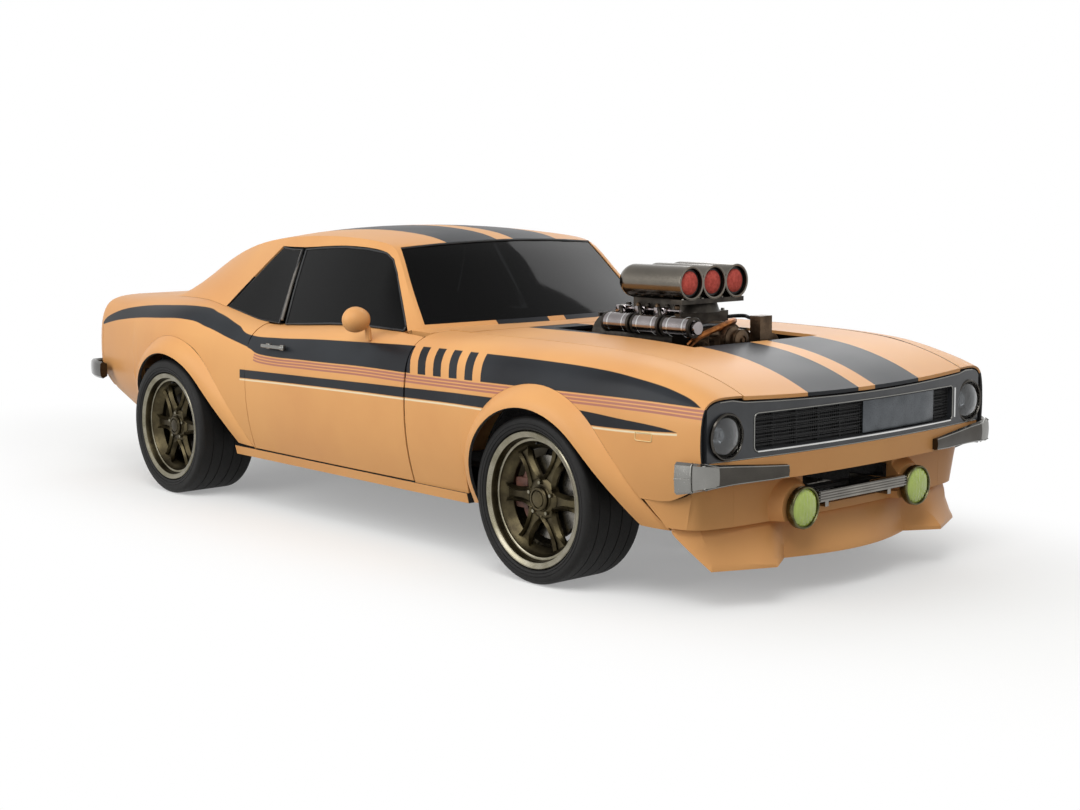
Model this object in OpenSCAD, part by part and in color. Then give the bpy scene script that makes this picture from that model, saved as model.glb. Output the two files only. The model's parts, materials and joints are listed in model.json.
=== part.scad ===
// Muscle coupe with flared arches and a blown engine standing through the bonnet. Millimetres.
// X forward, Y left, Z up; the origin is on the floor, below the middle of the whole car.

/* [Overall] */
// Bumper to splitter
length = 4650; // [4400:10:4900]
// Axle to axle
wheelbase = 2743; // [2600:1:2900]
// Front axle ahead of the cabin's datum, where X is counted from while the parts are drawn
axle_ahead = 1420; // [1300:5:1500]
// Front axle to the foremost point
front_overhang = 905; // [800:5:1000]
// Body width between the doors' widest lines
body_width = 1804; // [1700:2:1900]
// Height of the roof's crown
roof_height = 1346; // [1250:2:1450]

/* [Wheels] */
// Front tyre radius
tyre_front = 330; // [300:1:360]
// Rear tyre radius
tyre_rear = 340; // [300:1:370]
// Front tyre width
tread_front = 295; // [225:5:325]
// Rear tyre width
tread_rear = 315; // [225:5:345]
// Front tyre's outer face to the centre line
face_front = 924; // [860:2:960]
// Rear tyre's outer face to the centre line
face_rear = 962; // [880:2:980]
// Rim lip radius
rim_lip = 270; // [220:1:280]
// Spokes on each wheel
spokes = 6; // [5:1:10]
// How deep the spokes sit inside the lip
dish = 70; // [20:2:110]

/* [Arches] */
// Front arch opening radius
arch_front = 366; // [350:2:400]
// Rear arch opening radius
arch_rear = 374; // [350:2:400]
// Width of the flare round the opening
flare_band = 86; // [40:2:120]
// How far the front flare stands out
flare_out_front = 70; // [20:2:90]
// How far the rear flare stands out
flare_out_rear = 52; // [20:2:80]
// Angle below which the arch runs straight down and away
arch_turn = 40; // [20:1:60]

/* [Panels] */
// Thickness of the outer panels
skin = 18; // [8:1:30]
// Thickness of a door
door_thick = 104; // [70:2:130]
// Door's leading edge
door_front = 586; // [500:2:640]
// Door's trailing edge
door_rear = -668; // [-760:2:-560]
// Door's lower edge
door_low = 292; // [270:2:340]
// Gap ahead of the door
door_gap = 9; // [8:1:14]
// Gap at the other edges
gap = 6; // [5:0.5:9]
// Bonnet half width
hood_half = 652; // [560:2:700]
// Bonnet's rear edge
hood_rear = 742; // [700:2:780]
// Bonnet's foremost point
hood_tip = 2311; // [2260:2:2330]
// Boot lid half width
deck_half = 598; // [500:2:640]
// Boot lid's front edge
deck_front = -1724; // [-1800:2:-1650]
// Gap between the boot lid and the tail panel
deck_gap = 15; // [8:1:20]

/* [Hinges] */
// Hinge pin radius
pin_r = 5; // [4:0.5:7]
// Running clearance round a pin
fit = 0.3; // [0.2:0.05:0.5]
// Hinge line set back from a panel's edge
hinge_back = 60; // [40:2:80]
// Hinge line set below a panel's skin
hinge_deep = 24; // [20:1:30]

/* [Engine] */
// Rear face of the cylinder block
block_rear = 880; // [840:5:920]
// Length of the cylinder block
block_long = 600; // [500:10:660]
// Scoop's foremost point
scoop_front = 1526; // [1450:2:1600]
// Scoop's length
scoop_long = 390; // [300:5:450]
// Height of the scoop's tubes
scoop_z = 1136; // [1080:2:1180]
// Radius of the scoop's tubes
scoop_r = 70; // [55:1:72]
// Spacing of the scoop's tubes
scoop_pitch = 135; // [120:1:150]

/* [Output] */
// The node to build, or all

/* [Hidden] */
$fn = 64;
axle_f = axle_ahead;
axle_r = axle_f - wheelbase;
nose_end = axle_f + front_overhang;
tail_tip = nose_end - length;
hw = body_width / 2;
y_f = face_front - tread_front / 2;
y_r = face_rear - tread_rear / 2;

paint = [0.80, 0.52, 0.25];
trim = [0.16, 0.16, 0.17];
chrome = [0.62, 0.62, 0.64];
steel = [0.40, 0.40, 0.42];
rubber = [0.05, 0.05, 0.05];
glass = [0.10, 0.12, 0.14];
bronze = [0.30, 0.25, 0.21];

// Tables: a smooth curve through rows sorted by their first column
function span(tab, x, i = 0) = i >= len(tab) - 2 || x <= tab[i + 1][0] ? i : span(tab, x, i + 1);
function tangent(tab, i) = let (a = max(0, i - 1), b = min(len(tab) - 1, i
    + 1)) (tab[b] - tab[a]) / (tab[b][0] - tab[a][0]);
function row_at(tab, x) = let (i = span(tab, x), a = tab[i], b = tab[i + 1], h = b[0] - a[0],
    t = (x - a[0]) / h,
    ma = tangent(tab, i) * h, mb = tangent(tab, i + 1) * h)
    a * (2 * t ^ 3 - 3 * t ^ 2 + 1) + ma * (t ^ 3 - 2 * t ^ 2 + t) + b * (3 * t ^ 2 - 2 * t ^ 3)
        + mb * (t ^ 3 - t ^ 2);
function mix(a, b, t) = a + (b - a) * t;

// The body's sections: half width, half width and height at the lower edge, height of the widest line,
// height of the crown, squareness of the shoulder
WIDE = 1; LOWY = 2; LOWZ = 3; WIDEZ = 4; CROWN = 5; SQUARE = 6;
body = [
    [tail_tip + 2, hw - 76, hw - 200, 425, 640, 952, 18],
    [mix(axle_r, tail_tip + 2, 0.6), hw - 22, hw - 150, 330, 640, 969, 11],
    [axle_r, hw + 34, hw - 90, 246, 640, 986, 9],
    [axle_r + 320, hw + 12, hw - 76, 243, 634, 950, 9],
    [door_rear, hw - 2, hw - 70, 243, 625, 912, 9],
    [0, hw, hw - 66, 243, 620, 942, 10],
    [door_front, hw - 2, hw - 70, 243, 620, 926, 11],
    [axle_f, hw - 2, hw - 80, 243, 625, 920, 11],
    [axle_f + 480, hw - 16, hw - 92, 280, 630, 896, 12],
    [axle_f + 730, hw - 34, hw - 112, 340, 632, 838, 15],
    [axle_f + 905, hw - 62, hw - 142, 400, 634, 766, 26]];
function skin_at(x, u) = let (s = row_at(body, x), a = min(90, (u - 1) * 90)) u <= 1
    ? [x, s[WIDE] - (s[WIDE] - s[LOWY]) * (1 - u) ^ 2.2, mix(s[LOWZ], s[WIDEZ], u)]
    : [x, s[WIDE] * cos(a) ^ (2 / s[SQUARE]), s[WIDEZ] + (s[CROWN] - s[WIDEZ]) * sin(a) ^ (2 / 3)];
function u_of_z(x, z) = let (s = row_at(body, x)) z <= s[WIDEZ] ? (z - s[LOWZ]) / (s[WIDEZ] - s[LOWZ])
    : 1 + asin(min(1, (z - s[WIDEZ]) / (s[CROWN] - s[WIDEZ])) ^ 1.5) / 90;
function u_of_y(x, y) = let (s = row_at(body, x)) 1 + acos(min(1, abs(y) / s[WIDE]) ^ (s[SQUARE] / 2)) / 90;
function side_y(x, z) = skin_at(x, u_of_z(x, z))[1];
function top_z(x, y) = skin_at(x, u_of_y(x, y))[2];
// Towards the nose a station bends back with the distance from the middle
nose_tip = nose_end - 9;
nose_sweep = 62;
bend_from = axle_f + 531;
function bent(x, y) = x - nose_sweep * (y / 840) ^ 2 * max(0, (x - bend_from) / (nose_tip - bend_from));
function bent_at(x, u) = skin_at(bent(x, skin_at(x, u)[1]), u);
function skin_grid(xs, lo, hi, n) = [for (x = xs) [for (k = [0:n]) bent_at(x, mix(lo(x), hi(x), k / n))]];

// A closed panel between two grids of points; keep says which cells stand
module shell(outer, inner, keep = undef) {
    rows = len(outer);
    cols = len(outer[0]);
    n = rows * cols;
    function on(i, j) = i >= 0 && j >= 0 && i < rows - 1 && j < cols - 1 && (is_undef(keep) || keep[i][j]);
    faces = [for (i = [0:rows - 2], j = [0:cols - 2]) if (on(i, j))
        let (a = i * cols + j, b = a + cols, c = b + 1, d = a + 1)
        each concat([[a, b, c], [a, c, d], [a + n, c + n, b + n], [a + n, d + n, c + n]],
            on(i, j - 1) ? [] : [[b, a, a + n], [b, a + n, b + n]],
            on(i + 1, j) ? [] : [[c, b, b + n], [c, b + n, c + n]],
            on(i, j + 1) ? [] : [[d, c, c + n], [d, c + n, d + n]],
            on(i - 1, j) ? [] : [[a, d, d + n], [a, d + n, a + n]])];
    polyhedron(concat([for (r = outer) each r], [for (r = inner) each r]), faces);
}
// The grid moved inwards along its own normals by a thickness, one number or one for each row
function sunk(g, th) = let (r = len(g) - 1, c = len(g[0]) - 1) [for (i = [0:r]) [for (j = [0:c])
    let (d = cross(g[min(i + 1, r)][j] - g[max(i - 1, 0)][j], g[i][min(j + 1, c)] - g[i][max(j - 1, 0)]))
    g[i][j] + d / norm(d) * (is_list(th) ? th[i] : th)]];
module panel(g, th, keep = undef) shell(g, sunk(g, th), keep);
// A solid through closed rings of points, its ends closed flat
module loft(rings) {
    n = len(rings[0]);
    m = len(rings);
    polyhedron([for (r = rings) each r], concat(
        [for (i = [0:m - 2], j = [0:n - 1]) let (a = i * n + j, b = i * n + (j + 1) % n) each [[a, b, b
            + n], [a, b + n, a + n]]],
        [for (j = [1:n - 2]) [0, j + 1, j]],
        [for (j = [1:n - 2]) [(m - 1) * n, (m - 1) * n + j, (m - 1) * n + j + 1]]));
}
module right() mirror([0, 1, 0]) children();
module both() { children(); right() children(); }
module bar(lo, hi) translate(lo) cube(hi - lo);
module across(p, r, long) translate(p) rotate([-90, 0, 0]) cylinder(r = r, h = long);
module along(p, r, long) translate(p) rotate([0, 90, 0]) cylinder(r = r, h = long);
// A strip in plan along a path of points, so wide towards the inside, standing between two heights
module strip(path, wide, z0, z1) {
    n = len(path) - 1;
    function inward(i) = let (d = path[min(i + 1, n)] - path[max(i - 1, 0)]) [-d[1], d[0]] / norm(d);
    translate([0, 0, z0]) linear_extrude(z1 - z0)
        polygon(concat(path, [for (i = [n:-1:0]) path[i] + inward(i) * wide]));
}

// Arches: a round opening that turns into a straight line towards its front
function arch_r(phi, r) = phi < arch_turn ? r / cos(arch_turn - phi) : r;
function arch_z(x, xc, zc, r) = let (d = x - xc, e = r * cos(arch_turn)) d <= e
    ? zc + sqrt(max(0, r ^ 2 - d ^ 2)) : zc + r * sin(arch_turn) - (d - e) / tan(arch_turn);
phis = [190, 180, 170, 160, 150, 140, 130, 120, 110, 100, 90, 80, 70, 60, 50, 40, 27, 13, 0, -4];
function arch_xs(xc, r) = [for (p = phis) if (p <= 180 && p >= arch_turn) xc + r * cos(p)];
function swell(phi) = phi > 110 ? 1 - 0.4 * ((phi - 110) / 80) ^ 2 : 1 - 0.85 * ((110 - phi) / 114) ^ 2;
module flare(xc, zc, r, out) {
    g = [for (p = phis) [for (k = [0:5]) let (s = k / 5, rad = arch_r(p, mix(r, r + flare_band - 0.9, s)),
        x = xc + rad * cos(p), z = zc + rad * sin(p)) [x, side_y(x, z) + out * swell(p) * (1 - s ^ 2), z]]];
    panel(g, 14);
}

// Underbody
floor_z = 244;
sill_end = axle_f - arch_front - flare_band - 16;
sill_back = axle_r + arch_rear + flare_band + 16;
module sill() translate([sill_back, 0, 0]) rotate([90, 0, 90]) linear_extrude(sill_end - sill_back)
    polygon([[hw - 262, floor_z], [hw - 56, floor_z], [hw - 46, door_low - gap], [hw - 172, door_low - gap],
        [hw - 172, 372], [hw - 262, 372]]);
module tub(xc, zc, r, y0, y1, cut) difference() {
    across([xc, y0, zc], r, y1 - y0);
    across([xc, y0 + 8, zc], r - 8, y1 - y0);
    bar([xc - 2 * r, y0 - 1, zc - 2 * r], [xc + 2 * r, y1 + 1, cut]);
}
// The boot lid's hinges stand on posts from the boot floor
deck_pin = [deck_front - hinge_back, 430];
module hinge_eye(x, y, z, foot) difference() {
    union() {
        translate([x, y, z]) rotate([90, 0, 0]) cylinder(r = 9, h = 30, center = true);
        bar([x - 8, y - 15, foot], [x + 8, y + 15, z]);
    }
    translate([x, y, z]) rotate([90, 0, 0]) cylinder(r = pin_r + fit, h = 40, center = true);
}
floor_half = hw - 260;
module underbody() color(trim) union() {
    difference() {
        union() {
            bar([-840, -floor_half, floor_z], [660, floor_half, floor_z + 16]);
            bar([-840, -130, floor_z], [660, 130, 400]);
            bar([640, -floor_half - 58, floor_z], [660, floor_half + 58, 400]);
            bar([-880, -floor_half, floor_z], [-840, floor_half, 540]);
        }
        bar([-900, -112, 0], [700, 112, 384]);
    }
    both() {
        sill();
        bar([640, 400, 300], [2090, 456, 400]);
        bar([640, 400, floor_z], [700, floor_half + 58, 400]);
        difference() {
            across([axle_f, 466, tyre_front], 418, hw - 82 - 466);
            across([axle_f, 400, tyre_front], 410, hw);
            bar([0, 0, -200], [2400, hw, 340]);
        }
        for (s = [-1, 1]) bar([axle_f + s * 260 - 160, 440, 380], [axle_f + s * 260 + 160, 478, 400]);
        tub(axle_r, tyre_rear, 412, 592, hw - 64, 400);
        for (x = [-560, 560]) translate([x, hw - 212, floor_z - 10]) cylinder(r = 38, h = 12);
        bar([-900, 480, floor_z], [-780, floor_half, 372]);
        bar([tail_end + 23, 420, 470], [-880, 480, 540]);
        hinge_eye(deck_pin[0], deck_pin[1], top_z(deck_pin[0], deck_pin[1]) - hinge_deep, 530);
    }
    bar([tail_end + 23, -hw + 302, 522], [-860, hw - 302, 540]);
    bar([2040, -456, 300], [2090, 456, 360]);
}

// Scuttle, firewall and the posts that carry the doors
door_pin = [door_front - hinge_back, hw - hinge_deep];
door_hinges = [548, 712];
hood_pin = [hood_rear + hinge_back, hood_half - 92];
foot_y = hw - 196;
function foot_x(y) = abs(y) <= foot_y ? 570 - 100 * (y / foot_y) ^ 2 : 470 - 38 * (abs(y) - foot_y) / 42;
// The scuttle's plan: a wide part between the doors, a narrower one between the wings
function scuttle_at(i, c) = i == 0 ? [foot_x(c[0]) + 0.8, c[0]] : i == 1 ? [mix(foot_x(c[0]), 578, 0.5),
    c[0]] : i == 2 ? [578, c[0]]
    : [[590, 660, hood_rear - 10][i - 3], c[1]];
module cowl() color(paint) {
    half = [[foot_y + 32, hood_half - 12], [foot_y, hood_half - 37], [foot_y - 38, hood_half - 67],
        [foot_y * 0.66, 408], [foot_y * 0.33, 204], [0, 0]];
    cols = concat(half, [for (k = [4:-1:0]) -half[k]]);
    panel([for (i = [0:5]) [for (c = cols) let (p = scuttle_at(i, c)) [p[0], p[1], top_z(p[0], p[1])]]],
        20);
    difference() {
        bar([640, -hood_half + 6, 400.4], [660, hood_half - 6, 878]);
        bar([600, -115, 300], [700, 115, 520]);
    }
    both() {
        bar([600, hood_half - 5.6, 400.4], [660, hw - 112, 840]);
        bar([660.4, hood_pin[1] - 15, 770], [hood_pin[0] + 8, hood_pin[1] + 15, 790]);
        hinge_eye(hood_pin[0], hood_pin[1], top_z(hood_pin[0], hood_pin[1]) - hinge_deep, 790.4);
        for (z = door_hinges) difference() {
            union() {
                translate([door_pin[0], door_pin[1], z - 14]) cylinder(r = 9, h = 28);
                bar([door_pin[0] - 7, hw - 118, z - 14], [door_pin[0] + 7, door_pin[1], z + 14]);
                bar([door_pin[0] - 7, hw - 128, z - 14], [599.6, hw - 114, z + 14]);
            }
            translate([door_pin[0], door_pin[1], z - 20]) cylinder(r = pin_r + fit, h = 40);
        }
    }
}

// Front wings
function wing_seam(x) = 402 + 60 * min(1, max(0, (x - nose_tip + 200) / 140));
wing_xs = concat([door_front + door_gap, 700, 800, 890, axle_f - arch_front - flare_band - 15],
    arch_xs(axle_f, arch_front + flare_band),
    [axle_f + 430, axle_f + 480, axle_f + 531, axle_f + 610, axle_f + 690, axle_f + 770, axle_f + 830,
        nose_tip - 6]);
function wing_lo(x) = u_of_z(bent(x, 820), x < axle_f - arch_front - flare_band - 1 ? door_low - gap
    : max(wing_seam(x), arch_z(x, axle_f, tyre_front, arch_front + flare_band)));
function wing_hi(x) = u_of_y(bent(x, hood_half), hood_half + gap);
// Columns above the arch are spaced alike on every station, so that the flank stays fair past the arch's
// ends
function wing_u(x, k) = let (mid = u_of_z(bent(x, 820), mix(800, 742, max(0, (x - axle_f - 480) / 420))))
    k <= 5 ? mix(wing_lo(x), mid, k / 5) : mix(mid, wing_hi(x), (k - 5) / 8);
module fender() panel([for (x = wing_xs) [for (k = [0:13]) bent_at(x, wing_u(x, k))]],
    [for (x = wing_xs) x > axle_f + 500 ? mix(skin, 9, (x - axle_f - 500) / 400) : skin]);
module fender_left() color(paint) fender();
module fender_right() color(paint) right() fender();

// Greenhouse curves by a station u: the screen's foot 0, the roof's front 1, the roof's rear 2, the rear
// foot 3
rail = [[0, 470, foot_y, top_z(470, foot_y)], [0.5, 302, hw - 250, 1093], [0.96, 148, hw - 307, 1262],
    [1.12, 70, hw - 318, 1280], [1.5, -250, hw - 326, 1303], [2, -757, hw - 350, 1292], [2.3, -1130,
        hw - 382, 1246],
    [2.6, -1410, hw - 382, 1156], [2.85, -1580, hw - 346, 1048], [3, -1660, hw - 314, 990],
    [3.15, deck_front + 12, hw - 298, top_z(deck_front + 12, hw - 298)]];
crest = [[0, 570, top_z(570, 0)], [0.5, 380, 1120], [0.96, 196, 1288], [1.12, 104, 1314], [1.5, -250,
    roof_height],
    [2, -757, 1334], [2.3, -1010, 1292], [2.6, -1300, 1164], [2.85, -1520, 1040], [3, -1628, 986],
    [3.15, deck_front + 12, top_z(deck_front + 12, 0)]];
belt = [[0, 432, hw - 154], [0.5, 328, hw - 146], [0.96, 208, hw - 142], [1.5, -140, hw - 138], [1.85,
    -530, hw - 140],
    [1.93, -800, hw - 150], [2, -1092, hw - 166], [2.3, -1330, hw - 180], [2.6, -1500, hw - 190], [2.85,
        -1610, hw - 198],
    [3, -1664, hw - 202], [3.15, deck_front + 12, hw - 206]];
pillar = [[0, 60], [0.5, 60], [0.96, 45], [1.12, 36], [1.5, 44], [2, 66], [3.15, 50]];
function frame_at(u) = u < 0.97 ? 20 : 38;
function rail_at(u) = let (r = row_at(rail, u)) [r[1], r[2], r[3]];
function belt_at(u) = let (r = row_at(belt, u)) [r[1], r[2], top_z(r[1], r[2])];
function strip_k(u) = min(0.94, row_at(pillar, u)[1] / norm(rail_at(u) - belt_at(u)));
// c runs from 2 at the left belt over 1 at the left rail and 0 at the middle to -2
function house_at(u, c) = let (r = rail_at(u), m = row_at(crest, u), b = belt_at(u), k = abs(c) - 1,
    s = sign(c))
    abs(c) <= 1 ? [mix(m[1], r[0], c ^ 2), c * r[1], mix(m[2], r[2], c ^ 2)]
    : let (p = mix(r, b, k)) [p[0], s * (p[1] + 26 * k * (1 - k)), p[2]];
function house_cols(u) = let (k = strip_k(u), t = 1 - frame_at(u) / rail_at(u)[1], h = [2, 1 + mix(k, 1,
    0.5), 1 + k, 1, t, 0.66, 0.33])
    concat(h, [0], [for (i = [6:-1:0]) -h[i]]);
house_us = [3.15, 3, 2.9, 2.78, 2.64, 2.5, 2.36, 2.24, 2.12, 2, 1.85, 1.68, 1.5, 1.3, 1.12, 0.96, 0.8,
    0.6, 0.4, 0.2, 0.05, 0];
module roof() color(paint) {
    keep = [for (i = [0:len(house_us) - 2]) let (u = (house_us[i] + house_us[i + 1]) / 2) [for (j = [0:13])
        let (e = min(j, 13 - j)) e < 2 ? u > 2 || u < 0.05 : e < 4 ? true : !(u > 2.24 && u < 2.9)
            && !(u > 0.05 && u < 0.96)]];
    panel([for (u = house_us) [for (c = house_cols(u)) house_at(u, c)]], 24, keep);
}
// Glass: a patch of the greenhouse sunk by a depth
module pane(us, cs, depth, th) let (g = sunk([for (u = us) [for (c = cs(u)) house_at(u, c)]],
    depth)) panel(g, th);
// The frame's own stations, so the pane's edges follow the opening
function pane_cols(u) = let (t = 1 - (frame_at(u) + 0.8) / rail_at(u)[1]) [t, 0.66, 0.33, 0, -0.33, -0.66,
    -t];
module windscreen() color(glass) pane([0.95, 0.8, 0.6, 0.4, 0.2, 0.0515], function (u) pane_cols(u), 5, 6);
module rear_glass() color(glass) {
    pane([2.8985, 2.78, 2.64, 2.5, 2.36, 2.2415], function (u) pane_cols(u), 5, 6);
    both() panel(sunk([for (u = [1.99, 1.96, 1.92, 1.87]) let (k = strip_k(u), b = belt_at(u)) concat(
        [[b[0], b[1], top_z(b[0], b[1] - 8) + 4.8]], [for (i = [1:4]) house_at(u, 1 + mix(1, k + 0.014,
            i / 4))])], 4), 5);
}

// Doors
door_us = [1.84, 1.7, 1.5, 1.3, 1.1, 0.95, 0.8, 0.6, 0.45, 0.3, 0.2];
slab_front = 404;
door_xs = concat([door_rear, door_rear + 30, door_rear + 34], [for (u = door_us) belt_at(u)[0]],
    [slab_front, slab_front + 4, 460, door_pin[0] - 26, door_front - 30, door_front]);
function door_y(x) = hw - 130 + 14 * max(0, (x - 380) / 206);
module door() {
    g = skin_grid(door_xs, function (x) u_of_z(x, door_low), function (x) u_of_y(x, door_y(x)), 12);
    th = [for (x = door_xs) x > slab_front + 2 ? 6 : x < door_rear + 32 ? 20 : door_thick];
    shell(g, [for (i = [0:len(g) - 1]) [for (p = g[i]) p - [0, th[i], 0]]]);
}
module door_left() color(paint) door();
module door_right() color(paint) right() door();
module door_glass() {
    g = [for (u = door_us) let (k = strip_k(u) + 9 / norm(rail_at(u) - belt_at(u)), b = belt_at(u)) concat(
        [[b[0], b[1], top_z(b[0], door_y(b[0])) + 4.6]], [for (i = [1:5]) house_at(u, 1 + mix(1, k,
            i / 5))])];
    panel(sunk(g, 4), 5);
}
module door_glass_left() color(glass) door_glass();
module door_glass_right() color(glass) right() door_glass();
// Hinge straps with their pins, the handle, and the mirror on its stalk
module door_fittings() {
    for (z = door_hinges) union() {
        translate([door_pin[0], door_pin[1], z - 27]) cylinder(r = pin_r, h = 54);
        for (s = [-1, 1]) bar([slab_front + 4.5, door_pin[1] - 12, z + s * 21 - 6], [door_pin[0] + 6,
            door_pin[1] + 6, z + s * 21 + 6]);
    }
    translate([-400, side_y(-400, 786) + 0.6, 800]) union() {
        bar([-70, 0, -14], [-46, 22, 14]);
        bar([46, 0, -14], [70, 22, 14]);
        bar([-82, 14, -11], [82, 26, 11]);
    }
    let (y = hw - 52, z = top_z(278, hw - 62.5) + 0.6) union() {
        translate([278, y, z]) cylinder(r = 13, h = 50);
        translate([278, y, z + 46]) rotate([-58, 0, 0]) cylinder(r = 13, h = 40);
        translate([268, hw + 6, z + 88]) rotate([0, 90, 0]) rotate_extrude()
            polygon([[0, -46], [30, -41], [52, -25], [61, -5], [59, 13], [43, 32], [23, 41], [0, 45]]);
    }
}
module door_fittings_left() color(chrome) door_fittings();
module door_fittings_right() color(chrome) right() door_fittings();

// Rear wings
tail_end = tail_tip + 102;
rear_r = arch_rear + flare_band;
rear_xs = concat([for (t = [0, 0.19, 0.38, 0.6, 0.81, 1]) mix(tail_end, axle_r - rear_r - 22, t)],
    arch_xs(axle_r, rear_r),
    [axle_r + 215, axle_r + 240, axle_r + 400, axle_r + 440, axle_r + 520, axle_r + 580, door_rear - gap]);
function quarter_lo(x) = u_of_z(x, x < axle_r - rear_r - 1
    ? 262 + 180 * max(0, (axle_r - rear_r - x) / (axle_r - rear_r - tail_end))
    : max(door_low - gap, arch_z(x, axle_r, tyre_rear, rear_r)));
belt_plan = [for (k = [len(belt) - 1:-1:0]) [belt[k][1], belt[k][2]]];
function quarter_hi(x) = u_of_y(x, x < deck_front + 2 ? deck_half + gap : row_at(belt_plan, x)[1]
    + (x > axle_r + 230 ? -8 : 2.4));
function sorted(v) = len(v) < 2 ? v : let (p = v[0]) concat(sorted([for (x = v) if (x < p) x]), [p],
    sorted([for (x = v) if (x > p) x]));
// Columns above the arch are spaced alike on every station here too, up to the shoulder
function quarter_u(x, k) = let (low = u_of_z(x, 812), mid = u_of_y(x, hw - 132))
    k <= 5 ? mix(quarter_lo(x), low, k / 5) : k <= 10 ? mix(low, mid, (k - 5) / 5) : mix(mid,
        quarter_hi(x), (k - 10) / 3);
module quarter() let (xs = sorted(concat([for (x = rear_xs) if (abs(x - deck_front - 4) > 14) x],
    [deck_front - 4, deck_front + 6])))
    panel([for (x = xs) [for (k = [0:13]) skin_at(x, quarter_u(x, k))]], skin);
module quarter_left() color(paint) quarter();
module quarter_right() color(paint) right() quarter();

module flares() color(paint) both() {
    flare(axle_f, tyre_front, arch_front, flare_out_front);
    flare(axle_r, tyre_rear, arch_rear, flare_out_rear);
}

// Lids. Each hangs on two pins below its skin, set back from its edge so the edge dips inside
module strap(x, y, skin_z, th, dir) {
    translate([x, y, skin_z - hinge_deep]) rotate([90, 0, 0]) cylinder(r = pin_r, h = 60, center = true);
    for (s = [-1, 1]) bar([x - 8, y + s * 24 - 5, skin_z - hinge_deep - 8], [x + 8, y + s * 24 + 5,
        skin_z - th + 5]);
}
hole_rear = 850;
hole_front = 1766;
function hole_half(x) = mix(276, 372, max(0, min(1, (x - hole_rear) / (hole_front - hole_rear))));
hood_rows = [hood_rear, 790, hole_rear, 1000, 1150, 1300, 1450, 1600, hole_front, 1900, 2020, 2120, 2200,
    2260, hood_tip];
function hood_cols(x) = let (h = hole_half(x)) [hood_half, mix(hood_half, h, 0.33), mix(hood_half, h,
    0.66), h, h / 2, 0,
    -h / 2, -h, -mix(hood_half, h, 0.66), -mix(hood_half, h, 0.33), -hood_half];
module hood() color(paint) {
    g = [for (x = hood_rows) [for (y = hood_cols(x)) let (px = bent(x, y)) [px, y, top_z(px, y)]]];
    shell(g, [for (r = g) [for (p = r) p - [0, 0, 14]]],
        [for (i = [0:len(hood_rows) - 2]) [for (j = [0:9]) !(j > 2 && j < 7 && i > 1 && i < 8)]]);
    both() strap(hood_pin[0], hood_pin[1], top_z(hood_pin[0], hood_pin[1]), 14, 1);
}
deck_rear = tail_end + deck_gap;
deck_rows = [for (t = [0, 0.12, 0.29, 0.47, 0.68, 0.84, 1]) mix(deck_rear, deck_front, t)];
module deck_lid() color(paint) {
    g = [for (x = deck_rows) [for (k = [0:8]) let (y = mix(deck_half, -deck_half, k / 8)) [x, y, top_z(x,
        y)]]];
    shell(g, [for (r = g) [for (p = r) p - [0, 0, 14]]]);
    both() strap(deck_pin[0], deck_pin[1], top_z(deck_pin[0], deck_pin[1]), 14, -1);
}

// Nose: everything follows one curve in plan
nose_half = hw - 96;
function nose_x(y) = nose_tip - nose_sweep * (y / 840) ^ 2;
function nose_path(y, back = 0) = [for (k = [0:16]) let (v = mix(-y, y, k / 16)) [nose_x(v) - back, v]];
nose_low = 470;
module nose_panel() color(paint) union() {
    strip(nose_path(nose_half, 6), 46, nose_low, 558);
    both() {
        bar([2000, 430, 400.4], [nose_tip - 138, 456, nose_low + 20]);
        bar([nose_tip - 139, 430, nose_low], [nose_tip - 54, 456, nose_low + 20]);
    }
}
lamp = [nose_tip - 104, nose_half - 77, 648];
// The bezel's upper edge runs just below the bonnet and, past it, inside the wings
bezel_half = nose_half + 12;
function brow(y) = abs(y) <= hood_half ? top_z(bent(hood_tip, y), y) - 14 - gap
    : top_z(bent(nose_tip - 6, abs(y) + 10), abs(y) + 10) - 13;
module grille_bezel() color(trim) difference() {
    half = [1, 0.986, 0.965, 0.93, 0.86, 0.79, 0.6, 0.4, 0.2];
    ys = bezel_half * concat(-half, [0], [for (k = [8:-1:0]) half[k]]);
    g = [for (top = [false, true]) [for (y = ys) [nose_x(y) - 8, y, top ? brow(y) : 558.4]]];
    shell(g, [for (r = g) [for (q = r) q - [62, 0, 0]]]);
    bar([2150, -nose_half + 210, 586], [2400, nose_half - 210, 718]);
    both() along([2100, lamp[1], lamp[2]], 80, 300);
}
module grille() color(trim) union() {
    strip(nose_path(nose_half - 210.4, 58), 8, 586.4, 717.6);
    for (z = [602:16:704]) strip(nose_path(nose_half - 210.4, 34), 25, z - 2, z + 2);
    for (k = [-4:4]) let (y = k * (nose_half - 206) / 5) bar([nose_x(y) - 60, y - 2, 586.4],
        [nose_x(y) - 36, y + 2, 717.6]);
}
module headlamps() color(chrome) both() translate(lamp) rotate([0, 90, 0]) rotate_extrude()
    polygon([[0, -60], [60, -60], [79.6, -30], [79.6, 40], [74, 40], [72, 28], [60, 34], [40, 40], [20,
        43], [0, 44]]);
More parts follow.
